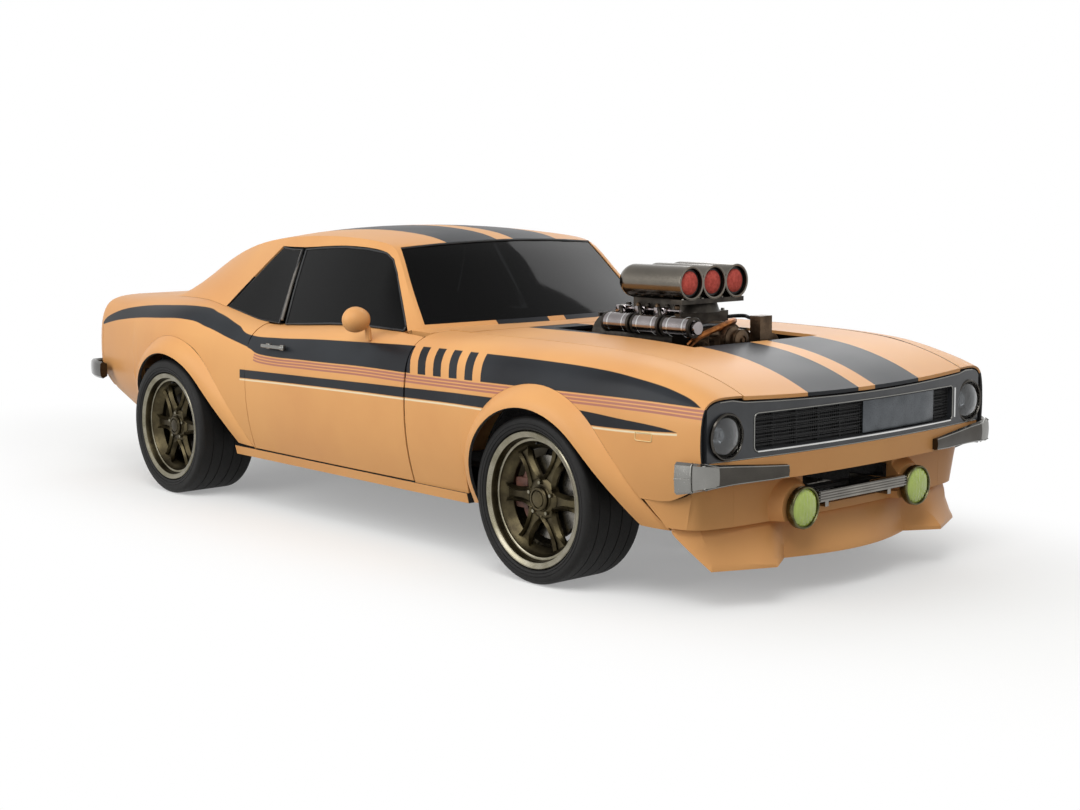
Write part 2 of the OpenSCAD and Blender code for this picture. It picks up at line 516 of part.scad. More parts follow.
// Bumperettes wrap the corners; a ribbed bar stands between the fog lamps
module front_bumpers() color(chrome) {
    path = concat([for (t = [0.56, 0.66, 0.77, 0.885]) [nose_x(t * nose_half) + 18.8, t * nose_half]],
        [[nose_tip - 24, nose_half - 6], [nose_tip - 37, nose_half + 51], [nose_tip - 80, nose_half + 80],
            [nose_tip - 152, nose_half + 88]]);
    // Middle height and share of the full depth at each station
    deep = [[501, 0.5], [503, 0.6], [507, 0.68], [511, 0.78], [515, 0.88], [518, 0.98], [513, 1.12], [506,
        1.24]];
    prof = [[0, -48], [12, -40], [17, 0], [12, 40], [0, 48], [-10, 40], [-10, -40]];
    both() loft([for (i = [0:7]) let (d = path[min(7, i + 1)] - path[max(0, i - 1)], n = [d[1],
        -d[0]] / norm(d))
        [for (q = prof) [path[i][0] + n[0] * (q[0] - 14), path[i][1] + n[1] * (q[0] - 14), deep[i][0]
            + q[1] * deep[i][1]]]]);
    union() {
        bar([nose_tip - 46, -262, 356], [nose_tip - 16, 262, 398]);
        for (z = [361, 371, 381, 391]) bar([nose_tip - 26, -262, z], [nose_tip - 8, 262, z + 5]);
        both() bar([2090.4, 180, 330], [nose_tip - 36, 200, 392]);
    }
}
fog = [nose_tip - 26, 343, 348];
valance_top = nose_low - 0.4;
valance_low = 300;
module front_valance() color(paint) {
    difference() {
        union() {
            strip([for (k = [0:12]) let (v = mix(-1, 1,
                k / 12) * (nose_half - 186)) [nose_tip - 80 - 60 * (v / 800) ^ 2, v]], 26,
                valance_low, valance_top);
            both() translate([nose_tip - 110, fog[1], fog[2]]) rotate([0, 90, 0]) cylinder(r1 = 118,
                r2 = 84, h = 57.6);
        }
        both() along([2100, fog[1], fog[2]], 36, 300);
        bar([nose_tip - 146, -272, 330], [nose_tip - 16, 272, valance_top + 1]);
        bar([nose_tip - 146, -hw, 0], [nose_tip, hw, valance_low]);
    }
    // Corner in plan: X and Y of the upper edge, X and Y of the lower one, height of the upper one
    corner = [[-116, -185.4, -116, -185.4, valance_top], [-120, -106, -128, -112, valance_top], [-130,
        -44, -146, -58, valance_top],
        [-142, -20, -166, -34, valance_top], [-156, -8, -192, -18, 440], [-206, 0, -222, -8, 412], [-272,
            30, -246, -2, 400],
        [-348, 42, -268, 4, 400]];
    both() panel([for (k = [7:-1:0]) let (c = corner[k])
        [[nose_tip + c[2], nose_half + c[3], valance_low], [nose_tip + c[0], nose_half + c[1], c[4]]]], 20);
}
module fog_lamps() color(trim) both() translate(fog) rotate([0, 90, 0]) rotate_extrude()
    polygon([[0, -70], [35.6, -70], [35.6, -26], [60, -26], [80, -12], [80, 14], [72, 18], [70, 8], [40,
        16], [0, 20]]);
// Splitter: share of the half width, X of the lower and of the upper edge, how far the lower edge drops
module splitter() color(paint) {
    edge = [[0.98, -258, -266, 0.1], [0.955, -196, -224, 0.5], [0.913, -118, -176, 1], [0.769, -64, -146,
        1], [0.62, -10, -130, 1],
        [0.467, -84, -122, 1], [0.452, -94, -122, 1], [0.298, -54, -112, 1], [0.149, -30, -106, 1], [0,
            -22, -102, 1]];
    all = concat(edge, [for (k = [8:-1:0]) [-edge[k][0], edge[k][1], edge[k][2], edge[k][3]]]);
    g = [for (t = [0, 0.5, 1]) [for (e = all)
        [nose_tip + mix(e[2], e[1], t), e[0] * nose_half, mix(valance_low - 0.4, 164, e[3] * t ^ 0.9)]]];
    shell(g, [for (r = g) [for (q = r) q - [0, 0, 14]]]);
}

// Tail: the body's last section, drawn in a little to the rear
tail_face = tail_end - 60.4;
function tail_ring(x, k) = let (lo = u_of_z(tail_end, 460), h = [for (i = [0:12]) skin_at(tail_end,
    mix(lo, 1.97, i / 12))])
    concat([for (p = h) [x, p[1] * k, mix(700, p[2], k)]], [for (i = [12:-1:0]) [x, -h[i][1] * k, mix(700,
        h[i][2], k)]]);
module tail_panel() color(paint) difference() {
    loft([tail_ring(tail_end - 0.4, 1), tail_ring(tail_end - 34, 0.99), tail_ring(tail_face, 0.92)]);
    both() translate([tail_face - 1, 89, 660]) rotate([0, 90, 0]) cylinder(r = 4, h = 30);
}
module tail_lamps() color([0.6, 0.05, 0.04]) both() for (k = [0:2]) let (y = hw - 602 + 136 * k)
    bar([tail_face - 14, y, 660], [tail_face - 0.4, y + 126, 800]);
module rear_bumper() color(chrome) {
    half = [[tail_tip + 213, hw + 18], [tail_tip + 103, hw + 6], [tail_tip + 13, hw - 30], [tail_tip,
        hw - 142], [tail_tip, 400]];
    path = concat(half, [[tail_tip, 0]], [for (k = [4:-1:0]) [half[k][0], -half[k][1]]]);
    prof = [[0, -46], [12, -34], [16, 0], [12, 34], [0, 46], [-25, 34], [-25, -34]];
    loft([for (i = [0:10]) let (d = path[min(10, i + 1)] - path[max(0, i - 1)], n = [d[1], -d[0]] / norm(d))
        [for (q = prof) [path[i][0] + n[0] * (q[0] - 16), path[i][1] + n[1] * (q[0] - 16), 560 + q[1]]]]);
}

// Cabin
dash_half = hw - 302;
seat_half = (hw - 422) / 2;
seat_y = 150 + seat_half;
module dashboard() color(trim) union() {
    bar([400, -dash_half, 700], [560, dash_half, 840]);
    bar([520, -dash_half, 660], [639.5, dash_half, 700]);
    bar([560, -dash_half, 700], [639.5, dash_half, 800]);
}
module steering_wheel() color(trim) translate([300, seat_y - 40, 770]) rotate([0, -68, 0]) union() {
    rotate_extrude() translate([170, 0]) circle(r = 13);
    cylinder(r = 42, h = 24, center = true);
    for (a = [0, 120, 240]) rotate(a + 30) translate([30, -14, -4]) cube([130, 28, 8]);
    translate([0, 0, -100.2]) cylinder(r = 18, h = 100.2);
}
module bucket() union() {
    bar([-330, -seat_half, 260.4], [160, seat_half, 400]);
    translate([-330, -seat_half, 380]) rotate([0, -18, 0]) cube([110, 2 * seat_half, 500]);
    translate([-470, -seat_half + 110, 820]) rotate([0, -18, 0]) cube([90, 2 * seat_half - 220, 180]);
}
module seats() color(rubber) {
    both() translate([0, seat_y, 0]) bucket();
    let (half = hw - 342) union() {
        bar([-1180, -half, 540.4], [-800, half, 640]);
        translate([-1180, -half, 600]) rotate([0, -24, 0]) cube([100, 2 * half, 420]);
    }
}

// Engine
bx = block_rear;
module engine_block() color(steel) union() {
    bar([bx, -120, 330], [bx + block_long, 120, 640]);
    both() translate([bx, 0, 520]) rotate([45, 0, 0]) bar([0, -110, 60], [block_long, 110, 270]);
    bar([bx + 20, -110, 250], [bx + block_long - 40, 110, 331]);
    both() bar([bx + 250, 100, 380], [bx + 330, 399.5, 440]);
    bar([bx + 30, -130, 600], [bx + block_long - 30, 130, 789.6]);
}
barrel_y = 240;
barrel_z = 968;
module blower() color(chrome) union() {
    bar([bx + 60, -150, 790], [bx + block_long - 20, 150, 830]);
    translate([bx + 80, 0, 890]) rotate([0, 90, 0]) linear_extrude(block_long - 120) union() {
        translate([0, -70]) circle(r = 92);
        translate([0, 70]) circle(r = 92);
        translate([-92, -70]) square([184, 140]);
    }
    for (k = [0:9]) bar([bx + 110 + k * 46, -150, 976], [bx + 118 + k * 46, 150, 992]);
    bar([scoop_front - scoop_long + 30, -150, 960], [scoop_front - 60, 150, 1010]);
    // Three barrels on one pipe along the right side
    right() {
        along([bx + 252, barrel_y, barrel_z], 26, 530);
        for (k = [0:2]) along([bx + 268 + k * 172, barrel_y, barrel_z], 40, 144);
        for (k = [0:2]) bar([bx + 300 + k * 90, 130, barrel_z - 24], [bx + 340 + k * 90, barrel_y,
            barrel_z + 6]);
    }
}
module scoop() color(steel) {
    x0 = scoop_front - scoop_long;
    difference() {
        union() {
            for (k = [-1:1]) {
                along([x0 + scoop_r, k * scoop_pitch, scoop_z], scoop_r, scoop_long - scoop_r);
                translate([x0 + scoop_r, k * scoop_pitch, scoop_z]) sphere(r = scoop_r);
            }
            bar([x0 + scoop_r, -scoop_pitch, scoop_z - scoop_r], [scoop_front - 30, scoop_pitch, scoop_z
                + 40]);
            bar([x0 + 30, -112, 1010.4], [scoop_front - 130, 112, scoop_z - 30]);
            translate([scoop_front - 130, 0, 1010.4]) cylinder(r1 = 118, r2 = 96,
                h = scoop_z - scoop_r - 1000);
            bar([scoop_front - 70, -scoop_pitch - 50, scoop_z - scoop_r - 16], [scoop_front - 6,
                scoop_pitch + 50, scoop_z - scoop_r + 4]);
        }
        for (k = [-1:1]) along([x0 + 120, k * scoop_pitch, scoop_z], scoop_r - 9, scoop_long);
    }
}
module engine_drive() color(bronze) union() {
    x = bx + block_long;
    along([x + 0.4, 0, 480], 90, 60);
    along([x + 0.4, 0, 890], 70, 110);
    bar([x + 0.4, -60, 480], [x + 30, 60, 890]);
    bar([x + 60, -88, 480], [x + 100, -60, 890]);
    bar([x + 60, 60, 480], [x + 100, 88, 890]);
    along([x + 40, 0, 890], 84, 90);
    // Snout, idler drum and its bracket ahead of the belt
    along([x + 129, 0, 905], 46, 80);
    along([x + 140, -84, 918], 50, 84);
    bar([x + 176, -140, 812], [x + 206, 112, 930]);
    bar([x + 205, 40, 840], [x + 260, 112, 1004]);
    along([x + 205, -56, 912], 44, 40);
    along([x + 0.4, 190, 872], 52, 190);
    bar([x + 0.4, 60, 850], [x + 40, 190, 890]);
}
module gearbox() color(steel) union() {
    translate([bx - 0.4, 0, 400]) rotate([0, -90, 0]) cylinder(r1 = 100, r2 = 90, h = 200);
    bar([250, -90, 312], [bx - 180, 90, 378]);
    along([axle_r + 150.4, 0, 340], 30, 250 - axle_r - 148);
}
module exhaust() color(steel) both() union() {
    along([-960, 230, 200], 28, 1500);
    along([-700, 230, 188], 50, 420);
    for (x = [-780, -200, 480]) bar([x, 222, 200], [x + 30, 238, floor_z - 0.4]);
}
module fuel_tank() color(trim) bar([tail_end + 63, -400, 340], [tail_end + 523, 400, 521.6]);
module rear_axle() color(steel) union() {
    across([axle_r, -y_r + 20, tyre_rear], 42, 2 * y_r - 40);
    translate([axle_r, 0, tyre_rear]) sphere(r = 150);
    both() {
        across([axle_r, y_r - 24, tyre_rear], 60, 60);
        across([axle_r, y_r + 24, tyre_rear], 165, 20);
        across([axle_r, y_r - 20, tyre_rear], 25, tread_rear / 2 - dish + 24);
        bar([axle_r - 620, 520, tyre_rear + 60], [-880.4, 575, tyre_rear + 80]);
        bar([axle_r - 60, 520, tyre_rear - 40], [axle_r + 60, 575, tyre_rear + 62]);
        bar([axle_r - 620, 520, tyre_rear + 60], [axle_r - 590, 575, 521.6]);
    }
}

// Front suspension: two arms a side end in eyes for the upright's kingpin
module front_suspension() color(steel) both() union() {
    for (s = [-1, 1]) difference() {
        union() {
            bar([axle_f - 26, 456.4, tyre_front + s * 118 - 14], [axle_f + 26, y_f, tyre_front + s * 118
                + 14]);
            translate([axle_f, y_f, tyre_front + s * 118 - 14]) cylinder(r = 22, h = 28);
        }
        translate([axle_f, y_f, 0]) cylinder(r = 12 + fit, h = 900);
    }
    bar([axle_f - 60, 456.4, tyre_front - 132], [axle_f + 60, 476, tyre_front + 132]);
}
module knuckle() union() {
    translate([axle_f, y_f, tyre_front - 136]) cylinder(r = 12, h = 272);
    bar([axle_f - 36, y_f - 30, tyre_front - 98], [axle_f + 36, y_f + 30, tyre_front + 98]);
    across([axle_f, y_f, tyre_front], 25, tread_front / 2 - dish + 4);
    across([axle_f, y_f + 24, tyre_front], 165, 20);
    bar([axle_f - 190, y_f - 10, tyre_front - 60], [axle_f - 120, y_f + 52, tyre_front + 60]);
}
module knuckle_left() color(steel) knuckle();
module knuckle_right() color(steel) right() knuckle();

// Wheels, built with the outer face up the Z axis and then laid over
module wheel(w) {
    h = w / 2;
    lip = h - 6;
    seat = rim_lip - 16;
    rotate_extrude() polygon([[rim_lip - 8, lip], [rim_lip, lip - 4], [rim_lip, lip - 16], [seat,
        lip - 18], [seat, -lip + 18],
        [rim_lip, -lip + 16], [rim_lip, -lip], [rim_lip - 12, -lip], [seat - 12, -lip + 20], [seat - 12,
            h - dish - 20],
        [seat - 22, h - dish - 16], [seat - 22, h - dish + 16], [seat - 12, h - dish + 18], [seat - 12,
            h - 40], [seat - 4, h - 38], [seat - 4, lip - 6]]);
    difference() {
        union() {
            translate([0, 0, h - dish - 28]) cylinder(r = 76, h = 44);
            translate([0, 0, h - dish + 10]) cylinder(r1 = 44, r2 = 36, h = 34);
            for (k = [0:spokes - 1]) rotate(k * 360 / spokes + 90) {
                translate([0, 0, h - dish - 14]) linear_extrude(16) polygon([[40, -34], [seat - 18, -26],
                    [seat - 18, 26], [40, 34]]);
                for (s = [-1, 1]) translate([0, 0, h - dish - 14]) linear_extrude(30)
                    polygon([[40, s * 20], [seat - 18, s * 13], [seat - 18, s * 27], [40, s * 35]]);
            }
        }
        translate([0, 0, -h]) cylinder(r = 25 + fit, h = 2 * h - dish + 8);
        for (k = [0:4]) rotate(k * 72) translate([56, 0, h - dish + 4]) cylinder(r = 9, h = 30);
    }
}
module tyre(r, w) {
    h = w / 2;
    seat = rim_lip - 16 + 0.4;
    half = concat([[seat, h - 25], [rim_lip + 1, h - 24.5], [rim_lip + 3, h - 3], [rim_lip + 20, h],
        [r - 30, h]],
        [for (a = [0:18:90]) [r - 22 + 22 * sin(a), h - 26 + 24 * cos(a)]]);
    rotate_extrude() polygon(concat(half, [for (k = [len(half) - 1:-1:0]) [half[k][0], -half[k][1]]]));
}
module stand(x, y, z) translate([x, y, z]) rotate([-90, 0, 0]) children();
module wheel_fl() color(bronze) stand(axle_f, y_f, tyre_front) wheel(tread_front);
module wheel_fr() color(bronze) right() stand(axle_f, y_f, tyre_front) wheel(tread_front);
module wheel_rl() color(bronze) stand(axle_r, y_r, tyre_rear) wheel(tread_rear);
module wheel_rr() color(bronze) right() stand(axle_r, y_r, tyre_rear) wheel(tread_rear);
module tyre_fl() color(rubber) stand(axle_f, y_f, tyre_front) tyre(tyre_front, tread_front);
module tyre_fr() color(rubber) right() stand(axle_f, y_f, tyre_front) tyre(tyre_front, tread_front);
module tyre_rl() color(rubber) stand(axle_r, y_r, tyre_rear) tyre(tyre_rear, tread_rear);
module tyre_rr() color(rubber) right() stand(axle_r, y_r, tyre_rear) tyre(tyre_rear, tread_rear);

// The origin is below the middle of the whole car
translate([-(nose_end + tail_tip) / 2, 0, 0]) {
    underbody();
    cowl();
    fender_right();
    fender_left();
    quarter_right();
    quarter_left();
    flares();
    roof();
    tail_panel();
    nose_panel();
    grille_bezel();
    front_valance();
    splitter();
    grille();
    headlamps();
    fog_lamps();
    front_bumpers();
    rear_bumper();
    tail_lamps();
    windscreen();
    rear_glass();
    dashboard();
    steering_wheel();
    seats();
    engine_block();
    blower();
    scoop();
    engine_drive();
    gearbox();
    exhaust();
    fuel_tank();
    rear_axle();
    front_suspension();
    knuckle_right();
    knuckle_left();
    wheel_fr();
    wheel_fl();
    wheel_rr();
    wheel_rl();
    tyre_fr();
    tyre_fl();
    tyre_rr();
    tyre_rl();
    door_right();
    door_left();
    door_glass_right();
    door_glass_left();
    door_fittings_right();
    door_fittings_left();
    hood();
    deck_lid();
}
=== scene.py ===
# %% [markdown]
# # A muscle coupe with a blown engine
# The CAD model gives every panel, wheel and hinge in metres, with X forward, Y left and Z up. This
# lesson dresses it. Panels become smooth sheets, the paint gets its stripes, and the small parts that
# a maker buys in, such as tyres, rims, lamps and seals, are modelled here. The frame is loaded first,
# because every piece rides on one of its bodies.

# %% Load the frame
import json
import math

import bmesh
import bpy
from mathutils import Matrix, Vector
from mathutils.bvhtree import BVHTree


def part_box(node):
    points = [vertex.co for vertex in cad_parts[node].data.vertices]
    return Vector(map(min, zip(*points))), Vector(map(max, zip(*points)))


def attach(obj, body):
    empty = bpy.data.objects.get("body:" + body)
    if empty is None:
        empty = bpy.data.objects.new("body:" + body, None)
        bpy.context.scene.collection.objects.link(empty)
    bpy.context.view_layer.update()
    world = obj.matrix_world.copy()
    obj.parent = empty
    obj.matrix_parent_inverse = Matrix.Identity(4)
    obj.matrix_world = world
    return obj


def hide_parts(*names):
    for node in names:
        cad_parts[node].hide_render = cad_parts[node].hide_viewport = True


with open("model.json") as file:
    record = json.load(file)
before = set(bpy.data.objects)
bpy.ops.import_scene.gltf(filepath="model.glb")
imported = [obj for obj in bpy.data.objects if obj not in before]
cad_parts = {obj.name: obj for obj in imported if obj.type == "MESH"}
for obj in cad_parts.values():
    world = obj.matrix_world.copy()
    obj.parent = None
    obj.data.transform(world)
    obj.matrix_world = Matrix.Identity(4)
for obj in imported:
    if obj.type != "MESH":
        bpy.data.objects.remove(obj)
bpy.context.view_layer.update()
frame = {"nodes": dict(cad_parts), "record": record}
nodes = frame["nodes"]
scene = bpy.context.scene
body_of = {n: b for b, members in frame["record"]["behaviour"]["bodies"].items() for n in members}

# %% [markdown]
# ## The camera
# The picture was taken from the front right, a little above the roof, with a short telephoto lens. Its
# place came from fitting the wheels, lamps and screen corners to their pixels, so the numbers are
# measured, not posed. A camera looks along its own minus Z, so the matrix is built from the three
# directions.

# %% Camera
EYE = Vector((6.2465, -5.1132, 1.5359))
YAW, PITCH, ROLL = 2.41995, -0.12988, -0.00698
ahead = Vector((math.cos(YAW) * math.cos(PITCH), math.sin(YAW) * math.cos(PITCH), math.sin(PITCH)))
level = Vector((math.sin(YAW), -math.cos(YAW), 0))
rise = level.cross(ahead)
side = level * math.cos(ROLL) + rise * math.sin(ROLL)
top = rise * math.cos(ROLL) - level * math.sin(ROLL)
lens = bpy.data.cameras.new("camera")
lens.sensor_width, lens.lens = 36, 56.18
camera = bpy.data.objects.new("camera", lens)
camera.matrix_world = Matrix.Translation(EYE) @ Matrix((side, top, -ahead)).transposed().to_4x4()
scene.collection.objects.link(camera)
scene.camera = camera
print("camera at", [round(v, 2) for v in EYE], "lens", lens.lens)

# %% [markdown]
# ## Colours and nodes
# Colours are written as sRGB hex, as a paint card gives them, and turned to the linear values that a
# renderer adds up. One helper adds a node, sets its fields and feeds its sockets, so that each finish
# reads as a list.


# %% Helpers for colours and nodes
def linear(card):
    """An sRGB hex colour as linear RGBA."""
    parts = [int(card[i:i + 2], 16) / 255 for i in (0, 2, 4)]
    return (*[c / 12.92 if c <= 0.04045 else ((c + 0.055) / 1.055) ** 2.4 for c in parts], 1.0)


def add(tree, kind, feeds=None, **fields):
    """Add a node, set its fields, and feed its inputs from values or from other nodes' outputs."""
    made = tree.nodes.new("ShaderNode" + kind)
    for field, value in fields.items():
        setattr(made, field, value)
    for socket, value in (feeds or {}).items():
        if isinstance(value, bpy.types.NodeSocket):
            tree.links.new(value, made.inputs[socket])
        else:
            made.inputs[socket].default_value = value
    return made


def finish(name, light, dark, rough, mottle_mm, grain_mm, bump=0.1, **sockets):
    """A finish whose colour drifts between two cards over mottle_mm, with a grain of grain_mm."""
    material = bpy.data.materials.new(name)
    material.use_nodes = True
    tree = material.node_tree
    shader = tree.nodes["Principled BSDF"]
    place = add(tree, "TexCoord").outputs["Object"]
    drift = add(tree, "TexNoise", {"Vector": place, "Scale": 1000 / mottle_mm,
        "Detail": 4.0}).outputs["Fac"]
    drift = add(tree, "MapRange", {"Value": drift, 1: 0.32, 2: 0.68}).outputs[0]
    colour = add(tree, "Mix", {0: drift, 6: linear(dark), 7: linear(light)}, data_type="RGBA").outputs[2]
    tree.links.new(colour, shader.inputs["Base Color"])
    grain = add(tree, "TexNoise", {"Vector": place, "Scale": 1000 / grain_mm,
        "Detail": 3.0}).outputs["Fac"]
    gloss = add(tree, "MapRange", {"Value": grain, 1: 0.3, 2: 0.7, 3: rough * 0.75,
        4: rough * 1.25}).outputs[0]
    tree.links.new(gloss, shader.inputs["Roughness"])
    relief = add(tree, "Bump", {"Height": grain, "Strength": bump,
        "Distance": grain_mm / 4000}).outputs[0]
    tree.links.new(relief, shader.inputs["Normal"])
    for socket, value in sockets.items():
        shader.inputs[socket.replace("_", " ")].default_value = value
    return material


# %% [markdown]
# ## The paint
# The car is sprayed in one tan orange with black bands along the flank and twin black stripes over
# bonnet, roof and boot. The bands were masked by eye on the panels, so their edges are curves over the
# car's length. A Float Curve holds each edge as height over length, read from the place of the point
# on the panel, and the band is what lies between two of them. The paint is semi-gloss with a faint
# orange peel and slow drifts of colour.

# %% Stripe edges, as (length, height) in metres
BAND_TOP = [(-2.24, 0.795), (-2.093, 0.867), (-1.824, 0.915), (-1.469, 0.939), (-1.232, 0.944),
    (-1.051, 0.920), (-0.82, 0.871), (-0.643, 0.833), (-0.48, 0.835), (-0.086, 0.852), (0.287, 0.862),
    (0.585, 0.868), (1.078, 0.868), (1.39, 0.866), (1.723, 0.856), (1.934, 0.836), (2.129, 0.800),
    (2.235, 0.758)]
BAND_LOW = [(-2.24, 0.795), (-1.797, 0.857), (-1.496, 0.875), (-1.254, 0.883), (-1.049, 0.855),
    (-0.832, 0.811), (-0.64, 0.774), (-0.543, 0.754), (-0.116, 0.755), (0.27, 0.760), (0.644, 0.758),
    (1.352, 0.763), (1.969, 0.765), (2.235, 0.758)]
LINE_TOP = [(-0.72, 0.672), (-0.192, 0.682), (0.277, 0.691), (0.58, 0.696), (0.969, 0.703), (1.4, 0.706),
            (1.667, 0.703), (1.882, 0.690), (2.074, 0.677), (2.15, 0.665)]
LINE_LOW = [(-0.72, 0.631), (-0.192, 0.643), (0.277, 0.651), (0.582, 0.654), (0.971, 0.659),
    (1.4, 0.656), (1.728, 0.652), (1.932, 0.655), (2.15, 0.665)]
SPAN, FLOOR_Z, RISE = 2.4, 0.6, 0.4
ORANGE, ORANGE_WARM, CHARCOAL, SLATE = "dda468", "d59a60", "15161a", "26292d"
PINSTRIPE, CREAM = "ad7362", "e9d9b6"


def edge_height(tree, x, points):
    """The height of a stripe's edge above each point, from its curve over the car's length."""
    along = add(tree, "MapRange", {"Value": x, 1: -SPAN, 2: SPAN}).outputs[0]
    curve = add(tree, "FloatCurve", {"Value": along})
    line = curve.mapping.curves[0]
    rows = [((px + SPAN) / (2 * SPAN), (pz - FLOOR_Z) / RISE) for px, pz in points]
    line.points[0].location, line.points[1].location = rows[0], rows[-1]
    for row in rows[1:-1]:
        line.points.new(*row)
    curve.mapping.update()
    return add(tree, "MapRange", {"Value": curve.outputs[0], 3: FLOOR_Z, 4: FLOOR_Z + RISE}).outputs[0]


def past(tree, a, b, soft=0.0012):
    """1 where a is past b, with an edge as soft as masking tape leaves it."""
    gap = add(tree, "Math", {0: a, 1: b}, operation="SUBTRACT").outputs[0]
    return add(tree, "MapRange", {"Value": gap, 1: -soft, 2: soft}).outputs[0]


def both_of(tree, *masks):
    """Where all the masks are 1."""
    found = masks[0]
    for mask in masks[1:]:
        found = add(tree, "Math", {0: found, 1: mask}, operation="MULTIPLY").outputs[0]
    return found


def body_paint(name, layout):
    """Semi-gloss enamel: plain, or with the flank's bands, or with the twin stripes on top."""
    material = bpy.data.materials.new(name)
    material.use_nodes = True
    tree = material.node_tree
    shader = tree.nodes["Principled BSDF"]
    place = add(tree, "TexCoord").outputs["Object"]
    axes = add(tree, "SeparateXYZ", {0: place})
    x, y, z = axes.outputs
    drift = add(tree, "TexNoise", {"Vector": place, "Scale": 1 / 0.55, "Detail": 4.0}).outputs["Fac"]
    drift = add(tree, "MapRange", {"Value": drift, 1: 0.35, 2: 0.65}).outputs[0]
    colour = add(tree, "Mix", {0: drift, 6: linear(ORANGE_WARM), 7: linear(ORANGE)},
        data_type="RGBA").outputs[2]
    black = add(tree, "Mix", {0: drift, 6: linear(CHARCOAL), 7: linear(SLATE)},
        data_type="RGBA").outputs[2]
    coats = []
    if layout == "flank":
        upper, lower = edge_height(tree, x, BAND_TOP), edge_height(tree, x, BAND_LOW)
        band = both_of(tree, past(tree, upper, z), past(tree, z, lower))
        # Five slanted bars of body colour break the band behind the front wheel,
        # 52 mm wide at 104.5 mm spacing
        slant = add(tree, "Math", {0: z, 1: 0.18, 2: x}, operation="MULTIPLY_ADD").outputs[0]
        turn = add(tree, "MapRange", {"Value": slant, 1: 0.758, 2: 0.758 + 0.1045, 4: 1.0},
            clamp=False).outputs[0]
        bar = add(tree, "Math", {0: add(tree, "Math", {0: turn}, operation="FRACT").outputs[0], 1: 0.5},
                  operation="LESS_THAN").outputs[0]
        bars = both_of(tree, bar, past(tree, turn, 0.0), past(tree, 4.5, turn))
        band = add(tree, "Math", {0: band, 1: bars}, operation="SUBTRACT", use_clamp=True).outputs[0]
        # Three thin pins under the band, from the door's rear edge to the nose
        for drop in (0.010, 0.023, 0.036):
            pin = add(tree, "Math", {0: lower, 1: drop}, operation="SUBTRACT").outputs[0]
            off = add(tree, "Math", {0: add(tree, "Math", {0: z, 1: pin},
                operation="SUBTRACT").outputs[0]}, operation="ABSOLUTE").outputs[0]
            coats.append((both_of(tree, past(tree, 0.0042, off, 0.001), past(tree, x, -0.60)),
                linear(PINSTRIPE)))
        line_top, line_low = edge_height(tree, x, LINE_TOP), edge_height(tree, x, LINE_LOW)
        ends = both_of(tree, past(tree, x, -0.716), past(tree, 2.15, x))
        coats.append((both_of(tree, past(tree, line_top, z), past(tree, z, line_low), ends), black))
        # A cream edge under the lower band
        cream_low = add(tree, "Math", {0: line_low, 1: 0.011}, operation="SUBTRACT").outputs[0]
        cream_top = add(tree, "Math", {0: line_low, 1: 0.004}, operation="SUBTRACT").outputs[0]
        coats.append((both_of(tree, past(tree, cream_top, z), past(tree, z, cream_low), ends),
            linear(CREAM)))
        coats.append((band, black))
    if layout == "top":
        across = add(tree, "Math", {0: y}, operation="ABSOLUTE").outputs[0]
        coats.append((both_of(tree, past(tree, across, 0.05), past(tree, 0.335, across)), black))
    for mask, tint in coats:
        colour = add(tree, "Mix", {0: mask, 6: colour, 7: tint}, data_type="RGBA").outputs[2]
    tree.links.new(colour, shader.inputs["Base Color"])
    # Orange peel is about 3 mm across; it is drawn at 9 mm so that it shows
    peel = add(tree, "TexNoise", {"Vector": place, "Scale": 1 / 0.009, "Detail": 2.0}).outputs["Fac"]
    gloss = add(tree, "MapRange", {"Value": drift, 3: 0.36, 4: 0.46}).outputs[0]
    tree.links.new(gloss, shader.inputs["Roughness"])
    relief = add(tree, "Bump", {"Height": peel, "Strength": 0.04, "Distance": 0.001}).outputs[0]
    tree.links.new(relief, shader.inputs["Normal"])
    shader.inputs["Specular IOR Level"].default_value = 0.14
    shader.inputs["Coat Weight"].default_value = 0.06
    shader.inputs["Coat Roughness"].default_value = 0.18
    return material


paint_flank = body_paint("enamel_banded", "flank")
paint_top = body_paint("enamel_striped", "top")
paint_plain = body_paint("enamel_plain", "plain")
print("paints:", paint_flank.name, paint_top.name, paint_plain.name)

# %% [markdown]
# ## The other finishes
# Each starts from what the real part is made of. Rubber is nearly black and rough. Cast alloy with a
# bronze wash is a dull metal. Chrome on these bumpers has gone dark, and the engine carries oil and
# heat stains, so its irons drift from grey to brown.

# %% Finishes
# Tyre rubber is moulded and dusty: nearly black, with no clear reflection
rubber = finish("tyre_rubber", "171615", "100f0e", 0.6, 60, 3, 0.15, Specular_IOR_Level=0.25)
# Extruded window rubber, smoother than a tyre
seal = finish("seal_rubber", "17181a", "0f1011", 0.5, 40, 4, 0.1)
# Cast alloy under a dark bronze wash, which pools in the corners and dulls the metal
bronze = finish("bronze_wash_alloy", "574f3a", "373125", 0.36, 60, 3, 0.08, Metallic=1.0)
# The machined edge of the rim, where the wash has worn off
lip = finish("worn_alloy_lip", "928d7e", "77725f", 0.3, 60, 2, 0.06, Metallic=1.0)
# Plated trim, nearly a mirror
chrome = finish("bright_chrome", "d6d6d4", "c2c2c1", 0.08, 120, 6, 0.02, Metallic=1.0)
# Thin plated lines round the grille, dulled to grey. The same grey also draws painted highlights along the
# bezel's top and the corner bumpers' edges
trim_line = finish("dulled_trim_line", "8b8a86", "7d7c78", 0.22, 160, 5, 0.03, Metallic=1.0)
# Plating gone dark with age: still a clear mirror, but a grey one
dark_chrome = finish("smoked_chrome", "4e4b46", "403d39", 0.16, 160, 8, 0.02, Metallic=1.0)
# Polished alloy of the ribbed bar between the fog lamps
polished = finish("polished_alloy_bar", "8a8781", "76736e", 0.18, 120, 5, 0.03, Metallic=1.0)
